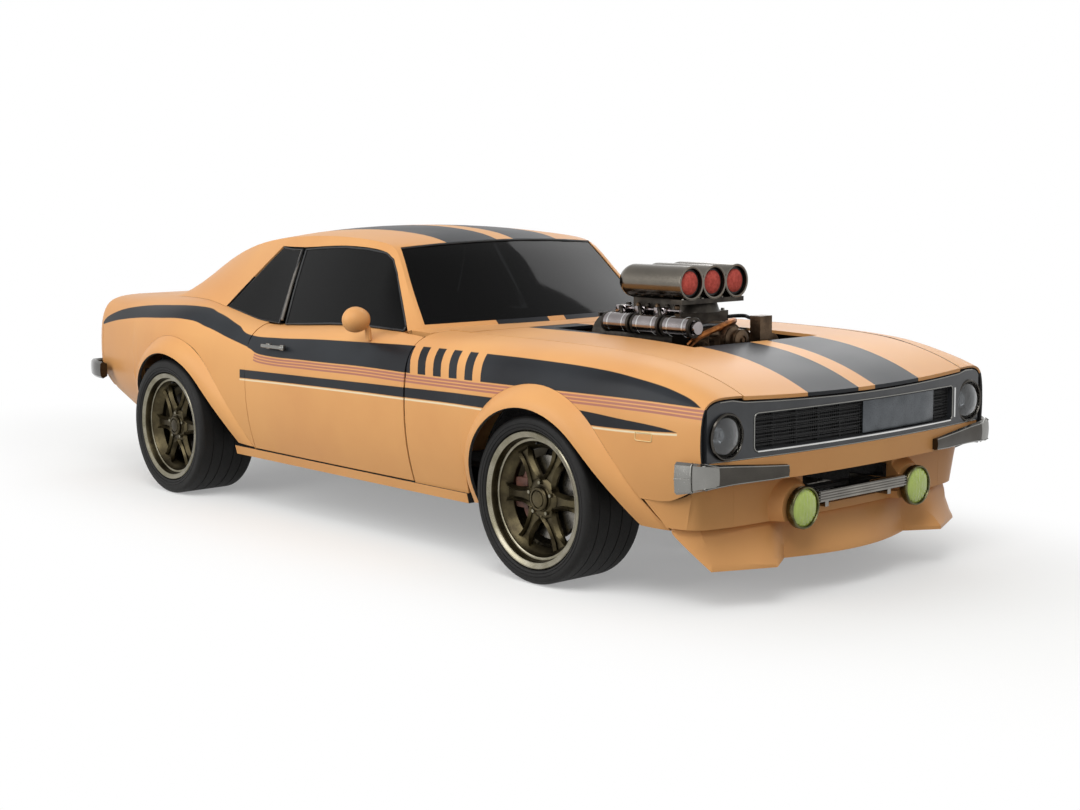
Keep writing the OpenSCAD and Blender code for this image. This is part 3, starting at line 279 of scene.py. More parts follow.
# Brushed and lacquered steel of the air scoop
gunmetal = finish("gunmetal_scoop", "7b756c", "6b665e", 0.2, 200, 8, 0.02, Metallic=1.0)
# Rough castings with a film of oil
iron = finish("oiled_cast_iron", "45413b", "2e2a27", 0.4, 40, 4, 0.25, Metallic=0.9)
# The drive at the front of the engine, browned by heat
rust = finish("heat_stained_iron", "6f5c49", "45382c", 0.34, 60, 5, 0.2, Metallic=0.95)
# Polished steel of the barrels on the blower
barrel_steel = finish("polished_barrel_steel", "a39c9c", "8a8484", 0.15, 90, 5, 0.03, Metallic=1.0)
# A fuel pipe of old copper
copper = finish("stained_copper_pipe", "a86b3c", "784a2a", 0.3, 20, 3, 0.1, Metallic=1.0)
# Open foam of the air filters, with no shine at all
red = finish("red_filter_foam", "d65f52", "b3433a", 0.8, 14, 3, 0.6)
# Sprayed trim, dark and half matt
satin = finish("satin_dark_trim", "3a3c3f", "2e3033", 0.38, 90, 3, 0.06)
# Powder coat of the grille; the same black lines the scoop's mouths as painted shade
mesh_black = finish("grille_black", "1a1a1a", "101011", 0.45, 30, 3, 0.15)
# A smooth panel behind the mesh, paler because it faces the light
plate_grey = finish("grille_plate_grey", "5c6064", "4a4e52", 0.3, 60, 3, 0.08, Metallic=0.6)
# Sprayed bitumen under the car, matt and lumpy
underseal = finish("underseal", "232120", "171615", 0.8, 50, 6, 0.4)
# Embossed vinyl of the seats and door cards; the grain is about 1 mm and is drawn at 5 mm so that it
# shows
hide = finish("black_leatherette", "2a2827", "1c1b1a", 0.5, 90, 5, 0.3)
# The bowl of a headlamp, silvered by vacuum
silver = finish("silvered_reflector", "56585a", "404244", 0.1, 60, 8, 0.01, Metallic=1.0)
# Pressed lamp glass
clear = finish("clear_lens_glass", "f4f6f7", "e9edef", 0.03, 60, 8, 0.02, Transmission_Weight=1.0,
    IOR=1.5)
# Selective yellow glass of the fog lamps, deep enough to look solid
fog_glass = finish("yellow_fog_glass", "c2d85c", "b2ca50", 0.12, 60, 4, 0.06, Coat_Weight=0.5)
# Old nickel ring of the fog lamps, stained olive
olive = finish("olive_stained_nickel", "6a6848", "4a4832", 0.3, 30, 3, 0.1, Metallic=1.0)
# Moulded acrylic of the rear lamps
red_lens = finish("red_lens", "9a1d18", "6d120f", 0.15, 40, 4, 0.08, Coat_Weight=0.4)
# Brake discs and hubs, turned and lightly rusted
brake = finish("turned_steel", "a39f98", "757169", 0.3, 40, 2, 0.1, Metallic=1.0)
# Brush-painted calipers
caliper = finish("brown_caliper_paint", "6a4437", "4a3027", 0.45, 30, 4, 0.2)
# Tinted float glass, so dark that the cabin only shows as a hint
smoked = finish("smoked_glass", "1c1d1e", "151617", 0.05, 400, 60, 0.005, Transmission_Weight=0.9,
    IOR=1.2)
# Painted strip between the side panes
pillar_grey = finish("grey_pane_strip", "6a645c", "55504a", 0.45, 50, 4, 0.08)
# Silver behind glass
mirror_glass = finish("silvered_mirror", "dfe3e5", "cfd4d7", 0.03, 80, 9, 0.01, Metallic=1.0)
# Cream enamel of the side marker's outline
cream = finish("cream_marker_enamel", "ead59a", "dcc488", 0.4, 40, 4, 0.05)
# Enamelled sheet, left blank
plate_white = finish("blank_plate", "e4e2da", "d3d0c6", 0.4, 60, 4, 0.1)
print("finishes:", len(bpy.data.materials))

# %% [markdown]
# ## Panels as smooth sheets
# The CAD panels are faceted. Each becomes a copy whose doubles are merged and whose triangles are
# joined back to quads. Edges that turn sharply keep a crease, so a Subdivision Surface rounds the
# sheet and keeps its rims.


# %% Smooth copies of the panels
def skin_of(node, levels=2, sharp=34):
    """A smooth copy of a CAD node, which it replaces."""
    mesh = nodes[node].data.copy()
    mesh.materials.clear()
    bm = bmesh.new()
    bm.from_mesh(mesh)
    bmesh.ops.remove_doubles(bm, verts=bm.verts, dist=2e-5)
    bmesh.ops.join_triangles(bm, faces=bm.faces, angle_face_threshold=math.radians(16),
                             angle_shape_threshold=math.radians(50))
    crease = bm.edges.layers.float.get("crease_edge") or bm.edges.layers.float.new("crease_edge")
    for edge in bm.edges:
        if len(edge.link_faces) != 2 or edge.calc_face_angle(0) > math.radians(sharp):
            edge[crease] = 1.0
            edge.smooth = False
    for face in bm.faces:
        face.smooth = True
    bm.to_mesh(mesh)
    bm.free()
    piece = bpy.data.objects.new(node + "_skin", mesh)
    scene.collection.objects.link(piece)
    if levels:
        rounded = piece.modifiers.new("round", "SUBSURF")
        rounded.levels = rounded.render_levels = levels
    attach(piece, body_of[node])
    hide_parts(node)
    return piece


def coat(piece, outside, inside=None, inward=None, least=0.55):
    """One finish outside, and another on the faces whose normal points along inward."""
    piece.data.materials.append(outside)
    if inside:
        piece.data.materials.append(inside)
        for face in piece.data.polygons:
            if face.normal.dot(inward) > least:
                face.material_index = 1


for hand, inward in (("right", Vector((0, 1, 0))), ("left", Vector((0, -1, 0)))):
    for panel in ("fender", "quarter", "door"):
        coat(skin_of(f"{panel}_{hand}", 1), paint_flank, hide if panel == "door" else underseal, inward,
             0.55 if panel == "door" else 0.15)
for panel in ("hood", "roof", "deck_lid"):
    coat(skin_of(panel, 1), paint_top, underseal, Vector((0, 0, -1)))
for panel in ("flares", "tail_panel", "front_valance", "splitter"):
    coat(skin_of(panel, 1), paint_plain)
# The side of a flare that looks at the tyre is sprayed with underseal
arches = bpy.data.objects["flares_skin"].data
arches.materials.append(underseal)
for face in arches.polygons:
    axle = Vector((1.42 if face.center.x > 0 else -1.323, face.center.y, 0.335))
    inner = face.normal.dot((axle - face.center).normalized()) > 0.3
    face.material_index = 1 if inner or face.normal.y * face.center.y < -0.5 * abs(face.center.y) else 0
for panel in ("front_bumpers", "rear_bumper"):
    bar = skin_of(panel, 2)
    for material in (dark_chrome, trim_line, polished):
        bar.data.materials.append(material)
    for face in bar.data.polygons:
        out = abs(face.center.y)
        face.material_index = 0 if panel == "rear_bumper" or 0.3 < out < 0.80 else 1 if out > 0.80 else 2
for pane in ("windscreen", "rear_glass", "door_glass_right", "door_glass_left"):
    coat(skin_of(pane, 1), smoked)

# %% [markdown]
# ## Tools for new pieces
# Most bought-in parts are turned, pressed or bent. A turned part is half of its section, spun about an
# axis. A pressed part starts as a box with bevelled edges. A bent bar is a curve with thickness, kept
# as a mesh. Parts are made about the origin and then put in place, so that a finished piece keeps its
# place in its mesh.


# %% Helpers for pieces
def lay(bm, name, body, *materials, crisp=35, hides=()):
    """Make a bmesh a piece that rides on a body. Edges that turn more than crisp degrees stay sharp."""
    bmesh.ops.remove_doubles(bm, verts=bm.verts, dist=1e-5)
    bmesh.ops.recalc_face_normals(bm, faces=bm.faces)
    mesh = bpy.data.meshes.new(name)
    bm.to_mesh(mesh)
    bm.free()
    mesh.shade_smooth()
    mesh.set_sharp_from_angle(angle=math.radians(crisp))
    for material in materials:
        mesh.materials.append(material)
    piece = bpy.data.objects.new(name, mesh)
    scene.collection.objects.link(piece)
    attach(piece, body)
    if hides:
        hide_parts(*hides)
    return piece


def put(whole, part, place=Matrix(), index=0):
    """Move a part to its place, give it a material slot, and add it to a bmesh."""
    bmesh.ops.transform(part, matrix=place, verts=part.verts)
    for face in part.faces:
        face.material_index = index
    spare = bpy.data.meshes.new("spare")
    part.to_mesh(spare)
    part.free()
    whole.from_mesh(spare)
    bpy.data.meshes.remove(spare)


def turned(profile, steps=64):
    """A part spun about Z from (radius, height) pairs that end on the axis or where they started."""
    bm = bmesh.new()
    row = [bm.verts.new((r, 0, h)) for r, h in profile]
    edges = [bm.edges.new(pair) for pair in zip(row, row[1:])]
    bmesh.ops.spin(bm, geom=row + edges, axis=(0, 0, 1), cent=(0, 0, 0), angle=math.tau, steps=steps,
                   use_merge=True)
    bmesh.ops.remove_doubles(bm, verts=bm.verts, dist=1e-6)
    return bm


def block(low, high, round_by=0.002, segments=2):
    """A box between two corners with rounded edges."""
    bm = bmesh.new()
    bmesh.ops.create_cube(bm, size=1)
    low, high = Vector(low), Vector(high)
    bmesh.ops.scale(bm, vec=high - low, verts=bm.verts)
    bmesh.ops.translate(bm, vec=(low + high) / 2, verts=bm.verts)
    bmesh.ops.bevel(bm, geom=bm.edges[:], offset=round_by, segments=segments, profile=0.5,
        affect="EDGES", material=-1)
    return bm


def bent(points, radius, cyclic=False, kind="POLY"):
    """A round bar along a row of points; NURBS lets it bend smoothly near them."""
    route = bpy.data.curves.new("route", "CURVE")
    route.dimensions, route.bevel_depth, route.bevel_resolution, route.use_fill_caps = "3D", radius, 2, True
    line = route.splines.new(kind)
    line.points.add(len(points) - 1)
    for spot, p in zip(line.points, points):
        spot.co = (*p, 1)
    line.use_cyclic_u, line.use_endpoint_u, line.order_u, line.resolution_u = cyclic, True, 3, 6
    bar = bpy.data.objects.new("route", route)
    scene.collection.objects.link(bar)
    mesh = bpy.data.meshes.new_from_object(bar.evaluated_get(bpy.context.evaluated_depsgraph_get()))
    bm = bmesh.new()
    bm.from_mesh(mesh)
    bpy.data.meshes.remove(mesh)
    bpy.data.objects.remove(bar)
    bpy.data.curves.remove(route)
    return bm


# A turned part stands on Z; these lay it along the car or out to one side
FRONT = Matrix.Rotation(math.radians(90), 4, "Y")
OUT = {1: Matrix.Rotation(math.radians(-90), 4, "X"), -1: Matrix.Rotation(math.radians(90), 4, "X")}


def nose_x(y):
    """How far forward the nose reaches at a place across the car."""
    return 2.316 - 0.062 * (y / 0.84) ** 2


# %% [markdown]
# ## Tyres
# Wide road tyres worn almost smooth. The section is drawn once, from bead to bead, with the fine rings
# that a mould leaves on the sidewall and four worn grooves, and spun about the axle.

# %% Tyres
WHEELS = {"fr": "wheel_front_right", "fl": "wheel_front_left", "rr": "wheel_rear_right",
    "rl": "wheel_rear_left"}
for short, body in WHEELS.items():
    low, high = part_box("tyre_" + short)
    middle, half, r = (low + high) / 2, (high.y - low.y) / 2, (high.z - low.z) / 2
    flank = [(0.2546, half - 0.0255), (0.2712, half - 0.0246), (0.2735, half - 0.008),
        (0.278, half - 0.0035), (0.283, half - 0.0022), (0.2842, half - 0.0042),
        (0.2862, half - 0.0042), (0.2874, half - 0.0012), (0.292, half - 0.0002), (0.2962, half),
        (0.2974, half - 0.0018), (0.2994, half - 0.0018), (0.3006, half), (r - 0.024, half)]
    arc = [(r - 0.022 + 0.022 * math.sin(a), half - 0.026 + 0.0258 * math.cos(a))
           for a in [math.radians(k) for k in range(10, 91, 10)]]
    grooves = [point for z in (0.088, 0.032) for point in
               ((r, z + 0.0026), (r - 0.003, z + 0.0018), (r - 0.003, z - 0.0018), (r, z - 0.0026))]
    outer = flank + arc + grooves
    section = outer + [(q, -z) for q, z in reversed(outer)] + outer[:1]
    side = 1 if middle.y > 0 else -1
    bm = bmesh.new()
    put(bm, turned(section, 96), Matrix.Translation(middle) @ OUT[side])
    tyre = lay(bm, "tyre_moulded_" + short, body, rubber, crisp=40, hides=["tyre_" + short])
    print(tyre.name, "radius", round(r, 3), "faces", len(tyre.data.polygons))

# %% [markdown]
# ## Wheels
# Deep cast rims: a stepped lip whose wash has worn bright, six spokes with a groove down the middle, a
# hub with five nuts and a round cap. Each spoke is a box, cut into lengths so that it can swell at
# both ends, with its top face inset and pushed down for the groove.


# %% Wheels
def spoke(top):
    """One spoke along X, with its face at a height of top."""
    bm = block((0.05, -0.034, top - 0.026), (0.214, 0.034, top), 0.003)
    for x in (0.07, 0.09, 0.115, 0.14, 0.165, 0.185):
        bmesh.ops.bisect_plane(bm, geom=bm.verts[:] + bm.edges[:] + bm.faces[:], plane_co=(x, 0, 0),
                               plane_no=(1, 0, 0))
    for v in bm.verts:
        v.co.y *= 0.54 + 0.46 * min(1.0, abs(v.co.x - 0.145) / 0.08) ** 2
    face = [f for f in bm.faces if f.normal.z > 0.9]
    bmesh.ops.inset_region(bm, faces=face, thickness=0.006, depth=0)
    bmesh.ops.inset_region(bm, faces=face, thickness=0.002, depth=-0.014)
    return bm


def rim_section(h):
    """Section of the rim: outer bead, barrel, inner bead, and the dish with its two rings."""
    return [(0.2610, h - 0.006), (0.2665, h - 0.0055), (0.2698, h - 0.009), (0.2700, h - 0.021),
            (0.2545, h - 0.0246), (0.2540, h - 0.060), (0.2540, 0.026 - h), (0.2700, 0.023 - h),
            (0.2700, 0.006 - h), (0.2600, 0.006 - h), (0.2420, 0.030 - h), (0.2380, h - 0.106),
            (0.1960, h - 0.104), (0.1960, h - 0.084), (0.2000, h - 0.078), (0.2150, h - 0.060),
            (0.2260, h - 0.046), (0.2275, h - 0.0395), (0.2310, h - 0.0375), (0.2370, h - 0.0375),
            (0.2385, h - 0.0400), (0.2400, h - 0.0400), (0.2425, h - 0.018), (0.2450, h - 0.0125),
            (0.2540, h - 0.0105), (0.2610, h - 0.006)]


for short, body in WHEELS.items():
    low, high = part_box("tyre_" + short)
    middle, h = (low + high) / 2, (high.y - low.y) / 2
    place = Matrix.Translation(middle) @ OUT[1 if middle.y > 0 else -1]
    bm = bmesh.new()
    put(bm, turned(rim_section(h), 96), place)
    for k in range(6):
        put(bm, spoke(h - 0.066), place @ Matrix.Rotation(math.tau * k / 6, 4, "Z"))
    hub = [(0, h - 0.074), (0.0254, h - 0.074), (0.0254, h - 0.092), (0.080, h - 0.092),
        (0.084, h - 0.088), (0.082, h - 0.068), (0.074, h - 0.062), (0.052, h - 0.060),
        (0.0495, h - 0.056), (0, h - 0.056)]
    put(bm, turned(hub, 48), place)
    cap = [(0, h - 0.058), (0.0475, h - 0.058), (0.0480, h - 0.046), (0.0445, h - 0.041),
        (0.0370, h - 0.0395), (0.0345, h - 0.046), (0.0320, h - 0.046), (0.0300, h - 0.041),
        (0.0150, h - 0.039), (0, h - 0.0388)]
    put(bm, turned(cap, 48), place)
    for k in range(5):
        nut = bmesh.new()
        bmesh.ops.create_cone(nut, cap_ends=True, segments=6, radius1=0.0088, radius2=0.0074, depth=0.016)
        turn_to = Matrix.Rotation(math.tau * (k + 0.25) / 5, 4, "Z")
        put(bm, nut, place @ turn_to @ Matrix.Translation((0.0645, 0, h - 0.056)), 1)
    put(bm, turned([(0, 0), (0.004, 0), (0.0042, 0.022), (0.003, 0.026), (0, 0.026)], 12),
        place @ Matrix.Translation((0.0, 0.219, h - 0.062)), 2)
    wheel = lay(bm, "wheel_cast_" + short, body, bronze, lip, seal, crisp=32, hides=["wheel_" + short])
    # The wash has worn off the two rings of the lip, which stand out furthest
    reach = max(abs(v.co.y) for v in wheel.data.vertices)
    for face in wheel.data.polygons:
        c = face.center - middle
        ring = math.hypot(c.x, c.z)
        depth = reach - abs(face.center.y)
        if (0.2455 < ring and depth < 0.014) or (0.2275 < ring < 0.2382 and 0.025 < depth < 0.036):
            face.material_index = 1
    print(wheel.name, "faces", len(wheel.data.polygons))

# %% [markdown]
# ## Headlamps
# Sealed round lamps set back in dark rings. Behind the domed glass a silvered bowl and a bulb shield
# catch the light, so bowl, ring and glass are three separate turned parts. The glass is a closed lens
# with real thickness.

# %% Headlamps
low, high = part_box("headlamps")
lamp_x, lamp_y, lamp_z = high.x - 0.044, (high.y + 0.6496) / 2, (low.z + high.z) / 2
bowl = [(0, -0.058), (0.056, -0.058), (0.0785, -0.030), (0.0785, 0.040), (0.0752, 0.040),
    (0.0740, 0.022), (0.062, -0.006), (0.045, -0.030), (0.024, -0.043), (0.014, -0.046),
    (0.014, -0.006), (0.0105, 0.006), (0, 0.009)]
ring = [(0.0755, 0.034), (0.0755, 0.052), (0.0785, 0.0575), (0.0830, 0.0575), (0.0865, 0.0535),
    (0.0865, 0.0490), (0.0795, 0.0490), (0.0795, 0.034), (0.0755, 0.034)]
glass = [(0, 0.0660), (0.022, 0.0640), (0.044, 0.0580), (0.060, 0.0515), (0.0700, 0.0460),
    (0.0750, 0.0410), (0.0750, 0.0455), (0.0700, 0.0505), (0.060, 0.0560), (0.044, 0.0625),
    (0.022, 0.0685), (0, 0.0705)]
for side, hand in ((1, "left"), (-1, "right")):
    place = Matrix.Translation((lamp_x, side * lamp_y, lamp_z)) @ FRONT
    bm = bmesh.new()
    put(bm, turned(bowl, 64), place)
    put(bm, turned(ring, 64), place, 1)
    lay(bm, "headlamp_" + hand, "chassis", silver, dark_chrome, hides=["headlamps"])
    bm = bmesh.new()
    put(bm, turned(glass, 64), place)
    lay(bm, "headlamp_glass_" + hand, "chassis", clear, hides=["headlamps"])
print("headlamps at", round(lamp_x, 3), round(lamp_y, 3), round(lamp_z, 3))

# %% [markdown]
# ## Fog lamps
# Round cups on stalks, with a dark ring and a domed yellow-green glass. The ribs in the glass are
# pressed, so they are modelled as shallow steps across it: the dome is cut by planes and every second
# strip is raised.

# %% Fog lamps
low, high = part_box("fog_lamps")
fog_x, fog_y, fog_z = high.x - 0.020, high.y - 0.080, (low.z + high.z) / 2
cup = [(0, -0.070), (0.0354, -0.070), (0.0356, -0.028), (0.058, -0.026), (0.0775, -0.013),
    (0.0798, -0.006), (0.0798, 0.012), (0.0775, 0.0165), (0.0735, 0.0180), (0.0708, 0.014),
    (0.0704, 0.004), (0, 0.004)]
dome = [(0, 0.0042), (0.0700, 0.0042), (0.0700, 0.009), (0.062, 0.0138), (0.045, 0.0172),
    (0.022, 0.0190), (0, 0.0194)]
for side, hand in ((1, "left"), (-1, "right")):
    place = Matrix.Translation((fog_x, side * fog_y, fog_z)) @ FRONT
    bm = bmesh.new()
    put(bm, turned(cup, 56), place)
    lay(bm, "fog_cup_" + hand, "chassis", olive, hides=["fog_lamps"])
    lens_part = turned(dome, 56)
    for k in range(-7, 8):
        bmesh.ops.bisect_plane(lens_part,
            geom=lens_part.verts[:] + lens_part.edges[:] + lens_part.faces[:],
            plane_co=(0, 0.009 * k, 0), plane_no=(0, 1, 0))
    for v in lens_part.verts:
        if v.co.z > 0.0095:
            v.co.z += 0.0012 * math.cos(math.pi * v.co.y / 0.009)
    bm = bmesh.new()
    put(bm, lens_part, place)
    lay(bm, "fog_glass_" + hand, "chassis", fog_glass, crisp=50, hides=["fog_lamps"])
print("fog lamps at", round(fog_x, 3), round(fog_y, 3), round(fog_z, 3))

# %% [markdown]
# ## Grille
# A fine black mesh in a dark surround, with a smooth grey panel behind its left half and thin bright
# lines round the opening; the grey bar along the bezel's top is a painted highlight. The mesh is a grid
# bent to the nose, and a
# Wireframe modifier turns its edges to bars.

# %% Grille mesh, panel and bright lines
for node in ("grille", "grille_bezel", "cowl", "nose_panel"):
    nodes[node].data.materials.clear()
    nodes[node].data.materials.append({"grille": mesh_black, "grille_bezel": satin}.get(node,
        paint_plain))
bm = bmesh.new()
bmesh.ops.create_grid(bm, x_segments=108, y_segments=11, size=0.5)
for v in bm.verts:
    y, z = v.co.x * 1.188, 0.652 + v.co.y * 0.128
    v.co = (nose_x(y) - 0.030, y, z)
mesh_piece = lay(bm, "grille_mesh", "chassis", mesh_black)
bars = mesh_piece.modifiers.new("bars", "WIREFRAME")
bars.thickness = 0.0026

bm = bmesh.new()
put(bm, block((-0.002, 0.0, 0.590), (0.002, 0.475, 0.714), 0.0012))
for y in (0.1, 0.2, 0.3, 0.4):
    bmesh.ops.bisect_plane(bm, geom=bm.verts[:] + bm.edges[:] + bm.faces[:], plane_co=(0, y, 0),
        plane_no=(0, 1, 0))
for v in bm.verts:
    v.co.x += nose_x(v.co.y) - 0.024
lay(bm, "grille_plate", "chassis", plate_grey)

bm = bmesh.new()
loop = []
for cy, cz, start in ((0.580, 0.702, 0), (-0.580, 0.702, 90), (-0.580, 0.602, 180), (0.580, 0.602, 270)):
    for k in range(0, 91, 15):
        a = math.radians(start + k)
        loop.append((cy + 0.020 * math.cos(a), cz + 0.020 * math.sin(a)))
dense = []
for (y0, z0), (y1, z1) in zip(loop, loop[1:] + loop[:1]):
    cuts = max(1, int(abs(y1 - y0) / 0.04))
    dense += [(y0 + (y1 - y0) * k / cuts, z0 + (z1 - z0) * k / cuts) for k in range(cuts)]
put(bm, bent([(nose_x(y) - 0.0075, y, z) for y, z in dense], 0.0026, cyclic=True))
# Painted highlight: a grey bar follows the bezel's top edge, where that edge catches the light
rows = sorted({(round(v.co.y, 3), round(v.co.z, 4)) for v in nodes["grille_bezel"].data.vertices
               if v.co.z > 0.722 and abs(v.co.x - nose_x(v.co.y) + 0.008) < 0.003})
brow = {}
for y, z in rows:
    brow[y] = max(z, brow.get(y, 0))
crest = {y: z for y, z in brow.items()
         if all(z > other - 0.004 for w, other in brow.items() if abs(w - y) < 0.04)}
edge = [(nose_x(y) - 0.0085, y, z - 0.003) for y, z in sorted(crest.items())]
if len(edge) > 2:
    put(bm, bent(edge, 0.0026))
ends = [y / 20 * 0.80 for y in range(-20, 21)]
put(bm, bent([(nose_x(y) - 0.0085, y, 0.5605) for y in ends], 0.0026))
inside = [y / 20 * 0.585 for y in range(-20, 21)]
put(bm, bent([(nose_x(y) - 0.0075, y, 0.5815) for y in inside], 0.0044), Matrix(), 1)
put(bm, bent([(nose_x(0.618) - 0.008, 0.618, 0.592), (nose_x(0.618) - 0.008, 0.618, 0.712)], 0.0050),
    Matrix(), 1)
lay(bm, "grille_trim", "chassis", trim_line, chrome, crisp=60)
print("grille: mesh of", len(mesh_piece.data.polygons), "openings, brow points", len(edge))

# %% [markdown]
# ## Nose fittings
# Corner bumpers carry a painted highlight along the top and the bottom of their front edge, laid on as
# thin grey bars. The ribbed bar under them carries bright flutes. Only thin trim is added here, on solids
# that the CAD gives.

# %% Side markers and painted highlights on the bumper edges
def touch(node, origin, direction):
    """Where a straight line from origin first meets a CAD node, and the surface's direction there."""
    bm = bmesh.new()
    bm.from_mesh(nodes[node].data)
    place, normal, _, _ = BVHTree.FromBMesh(bm).ray_cast(Vector(origin), Vector(direction))
    bm.free()
    return place, normal


for side, hand in ((1, "left"), (-1, "right")):
    spot, normal = touch("fender_" + hand, (1.996, side * 1.3, 0.636), (0, -side, 0))
    if spot is None:
        continue
    outline = []
    for cy, cz, start in ((0.034, 0.010, 0), (-0.034, 0.010, 90), (-0.034, -0.010, 180),
            (0.034, -0.010, 270)):
        outline += [(cy + 0.005 * math.cos(math.radians(start + k)),
            cz + 0.005 * math.sin(math.radians(start + k))) for k in (0, 30, 60, 90)]
    along = Vector((1, 0, 0)) - normal * normal.x
    along.normalize()
    across = normal.cross(along)
    bm = bmesh.new()
    put(bm, bent([spot + along * a + across * b + normal * 0.0006 for a, b in outline], 0.0016,
        cyclic=True))
    lay(bm, "side_marker_" + hand, "chassis", cream, crisp=60)

# Painted highlight: grey bars along the crest and the keel of each corner bumper's front stand in for the
# light these edges catch
for side, hand in ((1, "left"), (-1, "right")):
    spots = sorted((v.co.copy() for v in nodes["front_bumpers"].data.vertices if v.co.y * side > 0.40),
                   key=lambda c: c.y * side)
    crest, keel = [], []
    while spots:
        column = [c for c in spots if abs(c.y - spots[0].y) < 0.006]
        spots = [c for c in spots if abs(c.y - column[0].y) >= 0.006]
        front = max(c.x for c in column)
        near = [c for c in column if c.x > front - 0.012]
        crest.append(max(near, key=lambda c: c.z))
        keel.append(min(near, key=lambda c: c.z))
    bm = bmesh.new()
    for line in (crest, keel):
        if len(line) > 2:
            put(bm, bent(line, 0.0026))
    lay(bm, "bumper_edge_highlights_" + hand, "chassis", trim_line, crisp=60)
    print("bumper edge", hand, len(crest), "points")
print("side markers set")

# %% [markdown]
# ## Air scoop, blower and drive
# The scoop is three tubes on one neck, with red filters deep in the mouths, whose bores are lined
# with black as painted shade. The blower's right side carries three polished barrels with dark clamps. A
# row of small fuel fittings stands between them and the scoop, and a copper pipe bends over to the drive.
# The CAD solids give the castings, whose edges are rounded here; the neck under the tubes is darker iron as
# painted shade.


# %% Castings with rounded edges
def casting(node, material, edge_mm):
    """A copy of a CAD node whose sharp edges are rounded."""
    piece = skin_of(node, 0, 24)
    piece.data.materials.append(material)
    rounded = piece.modifiers.new("edges", "BEVEL")
    rounded.width, rounded.segments, rounded.limit_method = edge_mm / 1000, 2, "ANGLE"
    rounded.angle_limit = math.radians(28)
    rounded.use_clamp_overlap = True
    return piece


castings = {"scoop": (gunmetal, 3), "blower": (iron, 3), "engine_drive": (rust, 7),
    "engine_block": (iron, 4), "gearbox": (iron, 6), "rear_axle": (iron, 4),
    "front_suspension": (iron, 3), "exhaust": (brake, 2), "fuel_tank": (underseal, 8),
    "knuckle_right": (brake, 2), "knuckle_left": (brake, 2), "dashboard": (satin, 8),
    "steering_wheel": (satin, 3), "tail_lamps": (red_lens, 5), "underbody": (underseal, 2)}
for node, (material, edge_mm) in castings.items():
    casting(node, material, edge_mm)
for hand in ("right", "left"):
    made = bpy.data.objects[f"knuckle_{hand}_skin"].data
    made.materials.append(caliper)
    for face in made.polygons:
        if face.center.x < 1.302:
            face.material_index = 1
# Painted shade: the neck and tray under the tubes, where shade falls, take the darker iron
neck = bpy.data.objects["scoop_skin"].data
neck.materials.append(iron)
under_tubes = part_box("scoop")[1].z - 0.136
for face in neck.polygons:
    if face.center.z < under_tubes:
        face.material_index = 1
barrels = bpy.data.objects["blower_skin"].data
barrels.materials.append(barrel_steel)
for face in barrels.polygons:
    if face.center.y < -0.195 and face.center.z > 0.92:
        face.material_index = 1
sill = bpy.data.objects["underbody_skin"].data
sill.materials.append(paint_plain)
for face in sill.polygons:
    if abs(face.center.y) > 0.8425:
        face.material_index = 1
print("castings:", len(castings), "sill faces:", sum(f.material_index for f in sill.polygons))

# %% Scoop mouths and filters
low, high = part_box("scoop")
mouth_x, tube_z, pitch = high.x, high.z - 0.070, 0.135
bm = bmesh.new()
for k in (-1, 0, 1):
    place = Matrix.Translation((mouth_x, k * pitch, tube_z)) @ FRONT
    lip_ring = [(0.0655 + 0.0048 * math.cos(math.radians(a)),
        0.0048 * math.sin(math.radians(a)) - 0.0035) for a in range(0, 361, 30)]
    put(bm, turned(lip_ring, 56), place)
    foam = [(0, -0.018), (0.0490, -0.018), (0.0480, -0.013), (0.0420, -0.008), (0.0280, -0.004),
        (0.0140, -0.0025), (0, -0.002)]
    put(bm, turned(foam, 48), place, 1)
    # Painted shade: a black sleeve lines each mouth round and behind the filter, so the bore reads dark
    shade = [(0, -0.100), (0.0606, -0.100), (0.0606, -0.020), (0.0550, -0.016), (0, -0.016)]
    put(bm, turned(shade, 48), place, 2)
lay(bm, "scoop_mouths", body_of["scoop"], gunmetal, red, mesh_black)

bm = bmesh.new()
for k in range(-3, 4):
    bolt = bmesh.new()
    bmesh.ops.create_cone(bolt, cap_ends=True, segments=6, radius1=0.006, radius2=0.0055, depth=0.008)
    put(bm, bolt, Matrix.Translation((mouth_x - 0.014, 0.058 * k, tube_z - 0.0665)))
for y in (-0.137, 0.137):
    for k in range(5):
        bolt = bmesh.new()
        bmesh.ops.create_cone(bolt, cap_ends=True, segments=6, radius1=0.0085, radius2=0.0075,
            depth=0.010)
        put(bm, bolt, Matrix.Translation((1.19 + 0.064 * k, y, 1.014)))
lay(bm, "scoop_bolts", body_of["scoop"], brake)
print("scoop mouths at", round(mouth_x, 3), "height", round(tube_z, 3))

# %% Barrels, fuel fittings and pipes
bm = bmesh.new()
for k in range(3):
    for x in (1.148 + 0.172 * k, 1.148 + 0.172 * k + 0.144):
        clamp = [(0.030, -0.007), (0.0400, -0.007), (0.0425, -0.005), (0.0425, 0.005), (0.0400, 0.007),
            (0.030, 0.007), (0.030, -0.007)]
        put(bm, turned(clamp, 40), Matrix.Translation((x, -0.240, 0.968)) @ FRONT)
    band = [(0.0398, -0.003), (0.0412, -0.002), (0.0412, 0.002), (0.0398, 0.003), (0.0398, -0.003)]
    put(bm, turned(band, 40), Matrix.Translation((1.148 + 0.172 * k + 0.030, -0.240, 0.968)) @ FRONT, 1)
    put(bm, turned(band, 40), Matrix.Translation((1.148 + 0.172 * k + 0.114, -0.240, 0.968)) @ FRONT, 1)
lay(bm, "barrel_clamps", body_of["blower"], iron, chrome)

